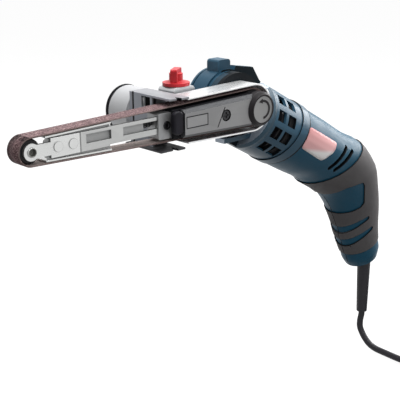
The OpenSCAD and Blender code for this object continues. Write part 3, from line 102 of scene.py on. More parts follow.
class Nodes:
    def __init__(self, name):
        self.mat = bpy.data.materials.new(name)
        self.mat.use_nodes = True
        self.tree = self.mat.node_tree
        self.tree.nodes.clear()
        self.out = self.tree.nodes.new("ShaderNodeOutputMaterial")
        self.bsdf = self.tree.nodes.new("ShaderNodeBsdfPrincipled")
        self.link(self.bsdf.outputs["BSDF"], self.out.inputs["Surface"])
        self.coord = self.tree.nodes.new("ShaderNodeTexCoord").outputs["Object"]

    def link(self, a, b):
        self.tree.links.new(a, b)

    def mapped(self, scale):
        n = self.tree.nodes.new("ShaderNodeMapping")
        n.inputs["Scale"].default_value = scale
        self.link(self.coord, n.inputs["Vector"])
        return n.outputs["Vector"]

    def noise(self, scale, detail=4, rough=0.55, stretch=None):
        n = self.tree.nodes.new("ShaderNodeTexNoise")
        n.inputs["Scale"].default_value = scale
        n.inputs["Detail"].default_value = detail
        n.inputs["Roughness"].default_value = rough
        self.link(self.mapped(stretch) if stretch else self.coord, n.inputs["Vector"])
        return n.outputs["Fac"]

    def cells(self, scale):
        n = self.tree.nodes.new("ShaderNodeTexVoronoi")
        n.inputs["Scale"].default_value = scale
        self.link(self.coord, n.inputs["Vector"])
        return n

    def ramp(self, fac, stops):
        n = self.tree.nodes.new("ShaderNodeValToRGB")
        els = n.color_ramp.elements
        while len(els) < len(stops):
            els.new(0.5)
        for e, (p, c) in zip(els, stops):
            e.position = p
            e.color = c
        self.link(fac, n.inputs["Fac"])
        return n.outputs["Color"]

    def span(self, fac, low, high, a=0.3, b=0.7):
        n = self.tree.nodes.new("ShaderNodeMapRange")
        n.inputs["From Min"].default_value = a
        n.inputs["From Max"].default_value = b
        n.inputs["To Min"].default_value = low
        n.inputs["To Max"].default_value = high
        self.link(fac, n.inputs["Value"])
        return n.outputs["Result"]

    def mix(self, fac, a, b):
        n = self.tree.nodes.new("ShaderNodeMix")
        n.data_type = "RGBA"
        self.link(fac, n.inputs["Factor"])
        for key, v in (("A_Color", a), ("B_Color", b)):
            sock = [s for s in n.inputs if s.identifier == key][0]
            if isinstance(v, tuple):
                sock.default_value = v
            else:
                self.link(v, sock)
        return [s for s in n.outputs if s.identifier == "Result_Color"][0]

    def bump(self, height, strength, distance, after=None):
        n = self.tree.nodes.new("ShaderNodeBump")
        n.inputs["Strength"].default_value = strength
        n.inputs["Distance"].default_value = distance
        self.link(height, n.inputs["Height"])
        if after is not None:
            self.link(after, n.inputs["Normal"])
        return n.outputs["Normal"]

    def edges(self):
        g = self.tree.nodes.new("ShaderNodeNewGeometry")
        return self.span(g.outputs["Pointiness"], 0, 1, *WEAR_AND_HIGHLIGHT_FROM_TO)

    def done(self, color, rough, normal=None, metal=0, **sockets):
        self.link(color, self.bsdf.inputs["Base Color"])
        self.link(rough, self.bsdf.inputs["Roughness"])
        if normal is not None:
            self.link(normal, self.bsdf.inputs["Normal"])
        self.bsdf.inputs["Metallic"].default_value = metal
        for k, v in sockets.items():
            self.bsdf.inputs[k.replace("_", " ")].default_value = v
        return self.mat


def moulded(name, c, rough=0.45, grain=2200, depth=0.00004, vary=0.06, wear_and_highlight=1.25, strength=0.35,
            spec=0.25, **sockets):
    """Plastic or paint: broad colour variation, fine grain, paler edges as wear and a painted highlight."""
    n = Nodes(name)
    broad = n.noise(18, 3)
    fine = n.noise(grain, 2)
    col = n.ramp(broad, [(0.3, shade(c, 1 - vary)), (0.7, shade(c, 1 + vary))])
    col = n.mix(n.edges(), col, shade(c, wear_and_highlight))
    normal = n.bump(fine, strength, depth)
    return n.done(col, n.span(n.noise(90, 3), rough - 0.06, rough + 0.06), normal, Specular_IOR_Level=spec,
                  **sockets)


def metal(name, c, rough=0.3, stretch=(1, 1, 1), scale=900, depth=0.00002, vary=0.06, metallic=1.0,
          wear_and_highlight=1.15, strength=0.25):
    """Metal with brushing along the axis that stretch makes small, and paler edges as wear and a painted
    highlight.
    """
    n = Nodes(name)
    lines = n.noise(scale, 3, 0.6, stretch)
    broad = n.noise(25, 4)
    col = n.ramp(broad, [(0.3, shade(c, 1 - vary)), (0.7, shade(c, 1 + vary))])
    col = n.mix(n.edges(), col, shade(c, wear_and_highlight))
    normal = n.bump(lines, strength, depth)
    return n.done(col, n.span(lines, rough - 0.07, rough + 0.09), normal, metallic)


M = {}
M["steel"] = metal("steel_bright", lin(190, 192, 196), 0.28)
M["zinc"] = metal("zinc_plate", lin(206, 207, 206), 0.3, (0.05, 1, 1), 1400, 0.00002, 0.05, 0.85)
M["zinc_shade"] = metal("zinc_shade", lin(126, 127, 127), 0.42, (0.05, 1, 1), 1400, 0.00002, 0.08, 0.6)
M["zinc_low"] = metal("zinc_low", lin(188, 189, 188), 0.34, (0.05, 1, 1), 1400, 0.00002, 0.05, 0.7)
M["pin_grey"] = metal("pin_grey", lin(118, 118, 114), 0.45, (1, 1, 1), 1100, 0.00003, 0.08, 0.5)
M["block"] = metal("block_grey", lin(146, 147, 148), 0.4, (1, 1, 0.2), 900, 0.00003, 0.08, 0.55)
M["dark_steel"] = metal("dark_steel", lin(52, 52, 55), 0.38, (1, 1, 1), 700, 0.00002, 0.08)
M["screw_grey"] = metal("screw_grey", lin(48, 48, 51), 0.42, (1, 1, 1), 700, 0.00002, 0.08, 0.5)
# Laminated core, darkened as painted shade inside the housing
M["core_steel"] = moulded("core_sheets_shaded", lin(34, 34, 36), 0.55, 900, 0.00008, 0.1, 1.2, spec=0.1)
M["cast_grey"] = metal("cast_grey", lin(150, 160, 172), 0.42, (1, 1, 1), 1200, 0.00008, 0.06, 0.45)
M["plate_blue"] = moulded("plate_blue", lin(44, 70, 86), 0.4, 1600, 0.00006, 0.06, 1.3, spec=0.3)
M["collar_blue"] = moulded("collar_blue", lin(38, 56, 68), 0.48, 1500, 0.00006, 0.08, 1.4, spec=0.1)
M["collar_shade"] = moulded("collar_shade", lin(17, 25, 30), 0.5, 1500, 0.00006, 0.08, 1.4, spec=0.06)
M["collar_bare"] = metal("collar_bare", lin(196, 198, 200), 0.34, (1, 1, 1), 1200, 0.00004, 0.05, 0.7)
M["guard"] = metal("guard_alu", lin(226, 227, 228), 0.3, (0.06, 1, 1), 1200, 0.00002, 0.03, 0.8)
M["black_plastic"] = moulded("black_plastic", lin(30, 30, 33), 0.46, wear_and_highlight=1.5, spec=0.14)
M["arm_black"] = moulded("arm_black", lin(22, 22, 25), 0.5, wear_and_highlight=1.4, spec=0.08)
M["nose_black"] = moulded("nose_black", lin(29, 28, 34), 0.42, wear_and_highlight=1.5, spec=0.12)
M["recess_shade"] = moulded("recess_shade", lin(14, 14, 15), 0.6, wear_and_highlight=1.1, spec=0.05)
M["cover_grey"] = metal("cover_grey", lin(142, 142, 143), 0.42, (1, 1, 0.05), 1500, 0.00003, 0.06, 0.3, 1.3)
M["cover_shade"] = metal("cover_shade", lin(52, 53, 56), 0.55, (0.05, 1, 1), 1500, 0.00003, 0.06, 0.1, 1.3)
M["cover_line"] = moulded("cover_line", lin(62, 62, 64), 0.5, 2600, 0.00003, 0.05, 1.2)
M["cap_grey"] = metal("cap_grey", lin(146, 146, 146), 0.42, (1, 1, 0.05), 1500, 0.00003, 0.06, 0.3, 1.2)
M["cap_dark"] = moulded("cap_dark", lin(38, 36, 38), 0.5, wear_and_highlight=1.4, spec=0.12)
M["hood_grey"] = moulded("hood_grey", lin(142, 143, 147), 0.38, 1800, 0.00004, 0.05, 1.2,
                         spec=0.3, Metallic=0.1)
M["hood_shade"] = moulded("hood_shade", lin(84, 84, 87), 0.45, 1800, 0.00004, 0.06, 1.3, spec=0.15)
M["hood_wall_lit"] = moulded("hood_wall_lit", lin(190, 194, 203), 0.45, 1800, 0.00004, 0.06, 1.1, spec=0.2)
M["hood_inside_shade"] = moulded("hood_inside_shade", lin(20, 20, 22), 0.6, 1800, 0.00004, 0.06, 1.2, spec=0.06)
M["port_grey"] = moulded("port_grey", lin(190, 191, 193), 0.34, 1800, 0.00003, 0.04, 1.15,
                         spec=0.4, Metallic=0.2)
M["lip_dark"] = moulded("lip_dark", lin(26, 27, 30), 0.45, wear_and_highlight=1.3, spec=0.1)
M["red_plastic"] = moulded("red_plastic", lin(190, 42, 50), 0.32, 1500, 0.00003, 0.05, 1.3)
M["blue_metal"] = moulded("blue_metal", lin(39, 73, 93), 0.36, 1600, 0.00005, 0.06, 1.35, spec=0.2)
M["blue_shade"] = moulded("blue_shade", lin(17, 27, 33), 0.5, 1600, 0.00005, 0.1, 1.5, spec=0.06)
M["blue_vented"] = moulded("blue_vented", lin(50, 82, 102), 0.32, 1800, 0.00004, 0.05, 1.3, spec=0.14)
M["blue_plastic"] = moulded("blue_plastic", lin(25, 75, 98), 0.38, 2000, 0.00004, 0.06, 1.35, spec=0.1)
M["painted_shade"] = moulded("painted_shade", lin(12, 16, 20), 0.6, 2000, 0.00004, 0.1, 1.2, spec=0.1)
M["soft_grip"] = moulded("soft_grip", lin(90, 88, 89), 0.64, 3200, 0.00009, 0.1, 1.15, 0.6, spec=0.12)
M["grip_edge_shade"] = moulded("grip_edge_shade", lin(16, 16, 18), 0.6, 3200, 0.00006, 0.08, 1.2, spec=0.12)
M["cord_black"] = moulded("cord_black", lin(36, 35, 40), 0.45, 1500, 0.00006, 0.06, 1.1)
M["relief_black"] = moulded("relief_black", lin(38, 37, 42), 0.45, 1500, 0.00005, 0.06, 1.2)
M["roller_black"] = moulded("roller_black", lin(34, 34, 36), 0.55, 1800, 0.0001, 0.07, 1.3)
M["copper"] = metal("copper", lin(190, 118, 72), 0.34, (1, 1, 1), 1500)
# Dark brown winding wire, darkened further as painted shade inside the housing
M["winding"] = moulded("winding_wire_shaded", lin(24, 17, 14), 0.6, 1500, 0.00008, 0.1, 1.2, spec=0.04)
M["spring_grey"] = metal("spring_grey", lin(62, 63, 65), 0.45, (1, 1, 1), 1200, 0.00002, 0.08, 0.6)
M["web_shade"] = metal("web_shade", lin(176, 177, 177), 0.48, (0.05, 1, 1), 1400, 0.00003, 0.1, 0.3)
M["carbon"] = moulded("carbon", lin(40, 40, 42), 0.6, 2400, 0.00008)
M["board"] = moulded("winding_board", lin(168, 150, 112), 0.55)


def grit():
    n = Nodes("belt_grit")
    grains = n.cells(1250)
    fine = n.noise(5200, 2)
    col = n.ramp(grains.outputs["Color"], [
        (0.15, lin(52, 34, 36)), (0.5, lin(104, 76, 79)), (0.85, lin(160, 134, 133))])
    broad = n.noise(30, 3)
    col = n.mix(n.span(broad, 0.0, 0.35), col, lin(76, 54, 56))
    rough = n.bump(grains.outputs["Distance"], 0.8, 0.00025)
    rough = n.bump(fine, 0.4, 0.0001, rough)
    return n.done(col, n.span(broad, 0.8, 0.92), rough)


def cloth():
    n = Nodes("belt_cloth")
    warp = n.noise(700, 2, 0.5, (1, 6, 1))
    weft = n.noise(700, 2, 0.5, (6, 1, 6))
    col = n.ramp(warp, [(0.35, lin(138, 124, 120)), (0.65, lin(176, 164, 160))])
    normal = n.bump(weft, 0.5, 0.0001)
    return n.done(col, n.span(warp, 0.75, 0.9), normal)


def cut_edge():
    n = Nodes("belt_edge")
    threads = n.noise(2400, 3)
    col = n.ramp(threads, [(0.3, lin(84, 66, 66)), (0.7, lin(150, 130, 126))])
    return n.done(col, n.span(threads, 0.7, 0.9), n.bump(threads, 0.5, 0.0001))


M["grit"] = grit()
M["cloth"] = cloth()
M["belt_edge"] = cut_edge()

# Cord: the route of the CAD solids, in metres
MM = 0.001
CORD_EXIT = Vector((24, 0, -97))
STEPS = [(0, 0, 0), (0, 0, -4), (-1, 0.5, -10.5), (-2, -0.5, -16.5), (-2.5, -4, -22), (-3, -8.5, -26.5),
         (-3.5, -14, -30), (-3.5, -20.5, -32), (-3.5, -27.5, -32.5), (-4, -38, -32.5), (-4.3, -48, -32.5),
         (-3.4, -56.3, -32.5), (-0.5, -64, -32.5), (4.2, -70.4, -32.5), (10.4, -75.2, -32.5),
         (23.4, -82.7, -32.5), (36.4, -90.2, -32.5), (49.4, -97.7, -32.5)]
COIL_TURNS = 3
COIL_LAYERS = 3
COIL_STEP = 6.6
COIL_IN = 24
COIL_OUT = COIL_IN + COIL_TURNS * COIL_STEP
COIL_FROM = 60
COIL_TAIL = 120
PLUG_RISE = 9.8
CORD_D = 0.006
ROUTE_FINE = 4
COIL_FINE = 10
INTO_PLUG = 6
COIL_MID = CORD_EXIT + Vector(STEPS[-1]) + COIL_OUT * Vector((
    math.cos(math.radians(COIL_FROM)), math.sin(math.radians(COIL_FROM)), 0))


def coil_point(w):
    layer = 360 * COIL_TURNS
    lap = layer + 180
    i = min(int(w // lap), COIL_LAYERS - 1)
    c = w - i * lap
    inward = i % 2 == 0
    if c <= layer:
        r = COIL_OUT - COIL_STEP * c / 360 if inward else COIL_IN + COIL_STEP * c / 360
        z = i * COIL_STEP
    else:
        last = i == COIL_LAYERS - 1
        t = math.radians(180 * (c - layer) / COIL_TAIL if last else c - layer)
        dip = COIL_STEP / 2 / math.pi * math.sin(t)
        r = COIL_IN - dip if inward else COIL_OUT + dip
        z = i * COIL_STEP + (1 - math.cos(t)) / 2 * (PLUG_RISE if last else COIL_STEP)
    a = math.radians(COIL_FROM + w)
    return COIL_MID + Vector((-r * math.cos(a), -r * math.sin(a), z))


def catmull(points, steps):
    out = []
    p = [points[0] * 2 - points[1]] + points + [points[-1] * 2 - points[-2]]
    for i in range(1, len(p) - 2):
        for k in range(steps):
            t = k / steps
            out.append(0.5 * (2 * p[i] + (p[i + 1] - p[i - 1]) * t
                              + (2 * p[i - 1] - 5 * p[i] + 4 * p[i + 1] - p[i + 2]) * t * t
                              + (3 * p[i] - p[i - 1] - 3 * p[i + 1] + p[i + 2]) * t ** 3))
    out.append(p[-2])
    return out


LAST = COIL_LAYERS * (360 * COIL_TURNS + 180) - 180 + COIL_TAIL
line = catmull([CORD_EXIT + Vector(p) for p in STEPS], ROUTE_FINE)
line += [coil_point(w) for w in range(COIL_FINE, int(LAST) + 1, COIL_FINE)]
line.append(line[-1] + Vector((0, INTO_PLUG, 0)))
line = [p * MM for p in line]
curve = bpy.data.curves.new("mains_cord", "CURVE")
curve.dimensions = "3D"
curve.bevel_depth = CORD_D / 2
curve.bevel_resolution = 4
curve.use_fill_caps = True
spline = curve.splines.new("POLY")
spline.points.add(len(line) - 1)
for point, p in zip(spline.points, line):
    point.co = (*p, 1)
spline.use_smooth = True
mains_cord = bpy.data.objects.new("mains_cord", curve)
scene.collection.objects.link(mains_cord)
curve.materials.append(M["cord_black"])
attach(mains_cord, "root")
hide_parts("cord", "cord_coil")


# Pieces made over the CAD solids: merged, edges rounded, faces painted by where they face, much of it
# painted light and shade
MERGE = 2e-6
SLIVER = 1e-6
FLAT = math.radians(0.5)
FACE_WEIGHT = 80


def put(node, mat):
    me = nodes[node].data
    me.materials.clear()
    me.materials.append(mat)


def dressed(node, mats, bevel=0.0004, angle=30, paint=None, segments=2, line=-1, shape=None, cuts=(),
            clamp=True):
    """Skin over a node: cut by planes, moved by shape, painted a face at a time, edges in material line."""
    me = nodes[node].data.copy()
    me.name = node + "_skin"
    me.materials.clear()
    bm = bmesh.new()
    bm.from_mesh(me)
    bmesh.ops.remove_doubles(bm, verts=bm.verts, dist=MERGE)
    bmesh.ops.dissolve_degenerate(bm, dist=SLIVER, edges=bm.edges)
    bmesh.ops.dissolve_limit(bm, angle_limit=FLAT, verts=bm.verts, edges=bm.edges)
    for at, way in cuts:
        parts = bm.verts[:] + bm.edges[:] + bm.faces[:]
        bmesh.ops.bisect_plane(bm, geom=parts, dist=SLIVER, plane_co=at, plane_no=way)
    if shape:
        for v in bm.verts:
            v.co = shape(v.co)
    bm.normal_update()
    for f in bm.faces:
        f.smooth = True
        f.material_index = paint(f.normal, f.calc_center_median()) if paint else 0
    bm.to_mesh(me)
    bm.free()
    for m in mats:
        me.materials.append(m)
    ob = bpy.data.objects.new(node + "_skin", me)
    scene.collection.objects.link(ob)
    if bevel:
        b = ob.modifiers.new("round", "BEVEL")
        b.width = bevel
        b.segments = segments
        b.limit_method = "ANGLE"
        b.angle_limit = math.radians(angle)
        b.use_clamp_overlap = clamp
        b.material = line
        b.miter_outer = "MITER_ARC"
    w = ob.modifiers.new("normals", "WEIGHTED_NORMAL")
    w.keep_sharp = True
    w.weight = FACE_WEIGHT
    bpy.context.view_layer.update()
    done = bpy.data.meshes.new_from_object(ob.evaluated_get(bpy.context.evaluated_depsgraph_get()))
    ob.modifiers.clear()
    ob.data = done
    done.name = node + "_skin"
    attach(ob, BODY_OF[node])
    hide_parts(node)
    return ob


# Middle line of the body, in X and Z, for telling outer faces from edges and inner ones
SPINE = [Vector((x * MM, 0, z * MM)) for x, z in (
    (-160, 134), (-96, 98.5), (-69.9, 84.1), (-50, 73.1), (-33.9, 64.1), (-12, 46), (-2, 28), (5, 10),
    (9, -8), (14, -24), (17, -32.5), (19, -40.5), (20.5, -47))]


def outward(n, c):
    best = None
    for a, b in zip(SPINE, SPINE[1:]):
        ab = b - a
        t = min(max((c - a).dot(ab) / ab.dot(ab), 0), 1)
        away = c - a - ab * t
        if best is None or away.length < best.length:
            best = away
    return n.dot(best.normalized())


# Slanted seam between the front housing and the body; a thin strip on each side of it is painted shade
SEAM_AT = Vector((-0.09598, 0, 0.09851))
SEAM_WAY = Vector((0.766, 0, -0.6428))
SEAM_W = 0.0008
SEAM_BODY_W = 0.0017
BODY_CUTS = [(SEAM_AT + SEAM_WAY * SEAM_BODY_W, SEAM_WAY)]
HOUSING_CUTS = [(SEAM_AT - SEAM_WAY * SEAM_W, SEAM_WAY)]


def past_seam(c):
    return (c - SEAM_AT).dot(SEAM_WAY)


# Below this the body is a blue end with no soft grip
BODY_END_Z = -0.039
BODY_OUTER = 0.45
GRIP_OUTER = 0.55


# Body: a strip by the seam, faces that do not face outward and the rounded edges are painted shade
def body_side(n, c):
    if past_seam(c) < SEAM_BODY_W:
        return 1
    return 0 if c.z < BODY_END_Z or outward(n, c) > BODY_OUTER else 1


# Grip: step sides, inner faces and rounded edges of the soft grip are painted shade, drawn as dark lines
def grip_side(n, c):
    return 0 if outward(n, c) > GRIP_OUTER else 1


# Places on the arm, from the drive spindle in the belt's middle plane
SPINDLE = Vector((-0.160, -0.024, 0.134))
ROLLER_X = -0.1922
BELT_HALF = 0.0065
COVER_Y = SPINDLE.y - 0.0155
CAP_Y = COVER_Y - 0.0028
ACROSS = (1, 0, 0)

# Cover: its screw stands in a recess, a little wider than in the solid and painted shade a little past its
# rim
SCREW = Vector((SPINDLE.x - 0.035, 0, SPINDLE.z + 0.0006))
RECESS_R = 0.0036
RECESS_WIDER = 0.3
RECESS_SHADE_R = 0.0046
SCREW_WIDER = 0.25
COVER_DEEP = 0.0002
FACE_ON = -0.99


def from_screw(c):
    return Vector((c.x - SCREW.x, 0, c.z - SCREW.z))


def wider_recess(v):
    return v + from_screw(v) * RECESS_WIDER if from_screw(v).length < RECESS_R else v


def wider_screw(v):
    return v + from_screw(v) * SCREW_WIDER


# Cover: bevels and sides are painted shade; sunk faces and rounded edges are darker
def cover_side(n, c):
    deep = c.y > COVER_Y + COVER_DEEP
    if deep and from_screw(c).length < RECESS_SHADE_R:
        return 2
    if n.y > FACE_ON:
        return 3
    return 1 if deep else 0


# Cap: the sunk face is light, the rim, the arrow and the cone are dark
CAP_SUNK = 0.0005
CAP_FACE = -0.9


def cap_side(n, c):
    if n.y > CAP_FACE:
        return 1
    return 0 if c.y > CAP_Y + CAP_SUNK else 1


# Hood: one grey moulding in lit and shaded copies: grey top, painted shade on the lower plate, painted
# light on the pale front wall, painted shade in the duct inside
HOOD_X0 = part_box("dust_hood")[0].x + 0.005
HOOD_X1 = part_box("dust_hood")[1].x
HOOD_IN = 0.0005
HOOD_LOW_Z = SPINDLE.z - 0.012
GROOVE_Y = SPINDLE.y + 0.0324
GROOVE_NEAR = 0.0002
GROOVE_FRONT = 0.001
GROOVE_WIDER = Vector((0, -0.0012, 0))
HALF = 0.5


def wider_groove(v):
    on_edge = abs(v.y - GROOVE_Y) < GROOVE_NEAR and v.x < HOOD_X0 + GROOVE_FRONT
    return v + GROOVE_WIDER if on_edge else v


def hood_side(n, c):
    between = HOOD_X0 + HOOD_IN < c.x < HOOD_X1 - HOOD_IN
    if between and (abs(n.x) > HALF or n.z < -HALF and c.z > SPINDLE.z):
        return 3
    if c.z < HOOD_LOW_Z:
        return 1
    return 2 if n.x < -HALF else 0


# Collar: bare metal ears in front; behind, painted shade, as on the gear head's face there
EAR_X = SPINDLE.x - 0.034
SHADE_FROM_X = SPINDLE.x - 0.005
HEAD_SHADE_Z = SPINDLE.z + 0.027
HEAD_FACE = -0.6
SHADE_CUTS = [((SHADE_FROM_X, 0, 0), ACROSS)]
COLLAR_CUTS = [((EAR_X, 0, 0), ACROSS)] + SHADE_CUTS


def collar_side(n, c):
    if c.x < EAR_X:
        return 1
    return 2 if c.x > SHADE_FROM_X else 0


def head_side(n, c):
    return 1 if n.y < HEAD_FACE and c.z < HEAD_SHADE_Z and c.x > SHADE_FROM_X else 0


# Arm base: painted shade behind the belt
def base_side(n, c):
    return 1 if c.y > SPINDLE.y + BELT_HALF else 0


# Port: a dark band at its end
PORT_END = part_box("dust_port")[1].y - 0.0018
PORT_CUTS = [((0, PORT_END, 0), (0, 1, 0))]


def port_side(n, c):
    return 1 if c.y > PORT_END else 0


# The bar's rear part lies a little lower and is a little darker, past a step drawn as a strip of painted
# shadow
STEP_X = SPINDLE.x - 0.1563
STEP_W = 0.001
BAR_CUTS = [((STEP_X, 0, 0), ACROSS), ((STEP_X + STEP_W, 0, 0), ACROSS)]
BAR_FACE = -0.4
WINDOW_SHIFT = Vector((0.0036, 0, 0))
WINDOW_Z = 0.0016
WINDOW_HALF = 0.0031
WINDOWS_FROM = -0.1549
WINDOWS_TO = -0.0949


# Faces that turn from the near side take the second material: painted shade on rivets and screw
def bar_side(n, c):
    return 0 if n.y < BAR_FACE else 1


def slide_side(n, c):
    if n.y > BAR_FACE or STEP_X < c.x < STEP_X + STEP_W:
        return 1
    return 0 if c.x < STEP_X else 2


def moved_windows(v):
    at = v - SPINDLE
    inner = abs(at.z - WINDOW_Z) < WINDOW_HALF and WINDOWS_FROM < at.x < WINDOWS_TO
    return v + WINDOW_SHIFT if inner else v


# Platen: the web behind the windows is in shade
WEB_Y = SPINDLE.y - 0.0055
WEB_FACE = -0.9


def platen_side(n, c):
    return 1 if n.y < WEB_FACE and c.y > WEB_Y else 0


# Roller pin: its middle is darker than its rim
PIN_DARK_R = 0.0027


def pin_side(n, c):
    return 1 if math.hypot(c.x - SPINDLE.x - ROLLER_X, c.z - SPINDLE.z) < PIN_DARK_R else 0


# Bearing plate and housing, along the motor's axis
MOTOR_WAY = Vector((0.8746, 0, -0.4848))
PLATE_FRONT = -0.8
PLATE_TOP = 0.9
HOUSING_INNER = -0.5
HOUSING_END = 0.9
HOUSING_END_Z = 0.112


# Bearing plate: its front and top faces are painted light, pale grey
def plate_side(n, c):
    return 1 if n.dot(MOTOR_WAY) < PLATE_FRONT or n.z > PLATE_TOP else 0


# Housing: a strip by the seam, inner faces, end faces low down and the rounded edges are painted shade
def housing_side(n, c):
    if past_seam(c) > -SEAM_W or outward(n, c) < HOUSING_INNER:
        return 1
    return 1 if abs(n.dot(MOTOR_WAY)) > HOUSING_END and c.z < HOUSING_END_Z else 0


# Belt: grit outside, cloth inside, cut edges at the sides
BELT_EDGE = 0.7


def belt_side(n, c):
    if abs(n.y) > BELT_EDGE:
        return 2
    x = min(max(c.x, SPINDLE.x + ROLLER_X), SPINDLE.x)
    away = Vector((c.x - x, 0, c.z - SPINDLE.z))
    return 0 if n.dot(away) > 0 else 1


# The button's stem ends inside its slot, clear of the wall at the end of its travel
STEM_END = 0.0253


def shorter_stem(v):
    return Vector((v.x, max(v.y, STEM_END), v.z))


dressed("sanding_belt", [M["grit"], M["cloth"], M["belt_edge"]], 0, paint=belt_side)
dressed("front_roller", [M["roller_black"]], 0.0004)
dressed("roller_pin", [M["zinc"], M["pin_grey"]], 0.0003, paint=pin_side)
dressed("front_bar", [M["zinc"], M["zinc_shade"], M["zinc_low"]], 0.00025, paint=slide_side,
        cuts=BAR_CUTS, shape=moved_windows)
dressed("platen", [M["zinc"], M["web_shade"]], 0.0002, paint=platen_side)
dressed("platen_rivets", [M["zinc"], M["zinc_shade"]], 0.0002, paint=bar_side, line=1)
dressed("guide_block", [M["block"]], 0.0004)
dressed("block_screw", [M["dark_steel"]], 0.0002)
dressed("tension_rod", [M["spring_grey"]], 0.0003)
dressed("arm_base", [M["arm_black"], M["painted_shade"]], 0.0005, paint=base_side)
dressed("arm_nose", [M["nose_black"]], 0.0012, segments=4)
dressed("arm_cover", [M["cover_grey"], M["cover_line"], M["recess_shade"], M["cover_shade"]],
        0.0003, paint=cover_side, shape=wider_recess, line=1)
dressed("cover_screw", [M["screw_grey"], M["recess_shade"]], 0.0002, paint=bar_side,
        shape=wider_screw)
dressed("pulley_cap", [M["cap_grey"], M["cap_dark"]], 0.0002, paint=cap_side)
dressed("belt_guard", [M["guard"]], 0.00025)
dressed("dust_hood", [M["hood_grey"], M["hood_shade"], M["hood_wall_lit"], M["hood_inside_shade"]],
        0.0003, paint=hood_side, shape=wider_groove)
dressed("dust_port", [M["port_grey"], M["lip_dark"]], 0.0004, paint=port_side,
        cuts=PORT_CUTS)
dressed("port_lip", [M["lip_dark"]], 0.0004)
dressed("clamp_collar", [M["collar_blue"], M["collar_bare"], M["collar_shade"]], 0.0006,
        paint=collar_side, cuts=COLLAR_CUTS)
dressed("wing_knob", [M["red_plastic"]], 0.0006, segments=3)
dressed("gear_head", [M["blue_metal"], M["blue_shade"]], 0.0008, segments=3, paint=head_side,
        cuts=SHADE_CUTS)
dressed("gear_cover", [M["blue_metal"]], 0.0006)
dressed("gear_cover_screws", [M["steel"]], 0.0002)
dressed("bearing_plate", [M["plate_blue"], M["cast_grey"]], 0.0005, paint=plate_side)
dressed("front_housing", [M["blue_vented"], M["painted_shade"]], 0.0005, paint=housing_side,
        line=1, cuts=HOUSING_CUTS)
for half in ("left", "right"):
    dressed("body_" + half, [M["blue_plastic"], M["painted_shade"]], 0.0004, 38, body_side,
            line=1, cuts=BODY_CUTS, clamp=False)
for half in ("left", "right"):
    dressed("grip_" + half, [M["soft_grip"], M["grip_edge_shade"]], 0.0004, 38, grip_side, line=1,
            clamp=False)
dressed("body_screws", [M["dark_steel"]], 0.0002)
dressed("switch_button", [M["black_plastic"]], 0.0006, segments=3,
        shape=shorter_stem)
dressed("strain_relief", [M["relief_black"]], 0.0004)
tie = dressed("coil_tie", [M["black_plastic"]], 0.0003)

# Pieces that keep their solids and only take a material
PLAIN = (
    ("tension_spring", "spring_grey"),
    ("clamp_screw", "steel"),
    ("drive_pulley", "roller_black"),
    ("pulley_screw", "dark_steel"),
    ("spindle", "steel"),
    ("bevel_gear", "steel"),
    ("spindle_bearings", "steel"),
    ("pinion", "steel"),
    ("motor_shaft", "steel"),
    ("cooling_fan", "black_plastic"),
    ("armature_core", "core_steel"),
    ("commutator", "copper"),
    ("stator_core", "core_steel"),
    ("stator_coils", "winding"),
    ("motor_bearings", "steel"),
    ("end_plate", "black_plastic"),
    ("brush_holders", "board"),
    ("carbon_brushes", "carbon"),
    ("switch_block", "black_plastic"),
    ("cord_clamp", "black_plastic"),
    ("inner_cord", "cord_black"),
)
for node, key in PLAIN:
    put(node, M[key])

plug = dressed("plug_body", [M["relief_black"]], 0.0012, segments=3)
pins = dressed("plug_pins", [M["steel"]], 0.0005)

# Thin plate that closes the forward part of the bar's second window
BACK_X = (-121.38, -102.5)
BACK_Z = (-1.7, 4.9)
BACK_Y = (-4.59, -4.1)
BACK_ROUND = 0.0009
BACK_SOFT = 0.0001
SHARP = 1
bm = bmesh.new()
bmesh.ops.create_cube(bm, size=1)
for v in bm.verts:
    v.co = SPINDLE + Vector((BACK_X[v.co.x > 0], BACK_Y[v.co.y > 0], BACK_Z[v.co.z > 0])) * MM
along = [e for e in bm.edges if abs((e.verts[0].co - e.verts[1].co).y) > BACK_SOFT]
bmesh.ops.bevel(bm, geom=along, offset=BACK_ROUND, segments=3, profile=0.5, affect="EDGES")
rim = [e for e in bm.edges if e.calc_face_angle() > SHARP]
bmesh.ops.bevel(bm, geom=rim, offset=BACK_SOFT, segments=2, profile=0.5, affect="EDGES")
back_mesh = bpy.data.meshes.new("bar_backing")
bm.to_mesh(back_mesh)
bm.free()
back_mesh.materials.append(M["web_shade"])
bar_backing = bpy.data.objects.new("bar_backing", back_mesh)
scene.collection.objects.link(bar_backing)
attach(bar_backing, BODY_OF["front_bar"])

# Plain label on the near half of the body: no words, a pale end
LABEL = [(-87.6, 106.6), (-53, 87.1), (-59.1, 80.8), (-73.6, 75.5), (-99.4, 91.3)]
LABEL_GRID = 2.0
LABEL_ROUND = 3
LABEL_ARC = 4
LABEL_CLEAR = LABEL_GRID * 0.6
LABEL_PROUD = 0.0002
LABEL_FADE_WAY = (-0.2216, 0, -0.975)
LABEL_FADE = (-0.083, -0.057)
RAY_FROM_Y = -0.06


def rounded(points, r, steps):
    out = []
    for i, p in enumerate(points):
        p = Vector(p)
        a = p + (Vector(points[i - 1]) - p).normalized() * r
        b = p + (Vector(points[(i + 1) % len(points)]) - p).normalized() * r
        for k in range(steps + 1):
            t = k / steps
            out.append(a * (1 - t) ** 2 + p * 2 * t * (1 - t) + b * t * t)
    return out


def densed(points, gap):
    out = []
    for i, p in enumerate(points):
        q = points[(i + 1) % len(points)]
        n = max(1, round((q - p).length / gap))
        out += [p.lerp(q, k / n) for k in range(n)]
    return out


def inside(p, ring):
    hit = False
    for a, b in zip(ring, ring[1:] + ring[:1]):
        if (a.y > p.y) != (b.y > p.y) and p.x < (b.x - a.x) * (p.y - a.y) / (b.y - a.y) + a.x:
            hit = not hit
    return hit


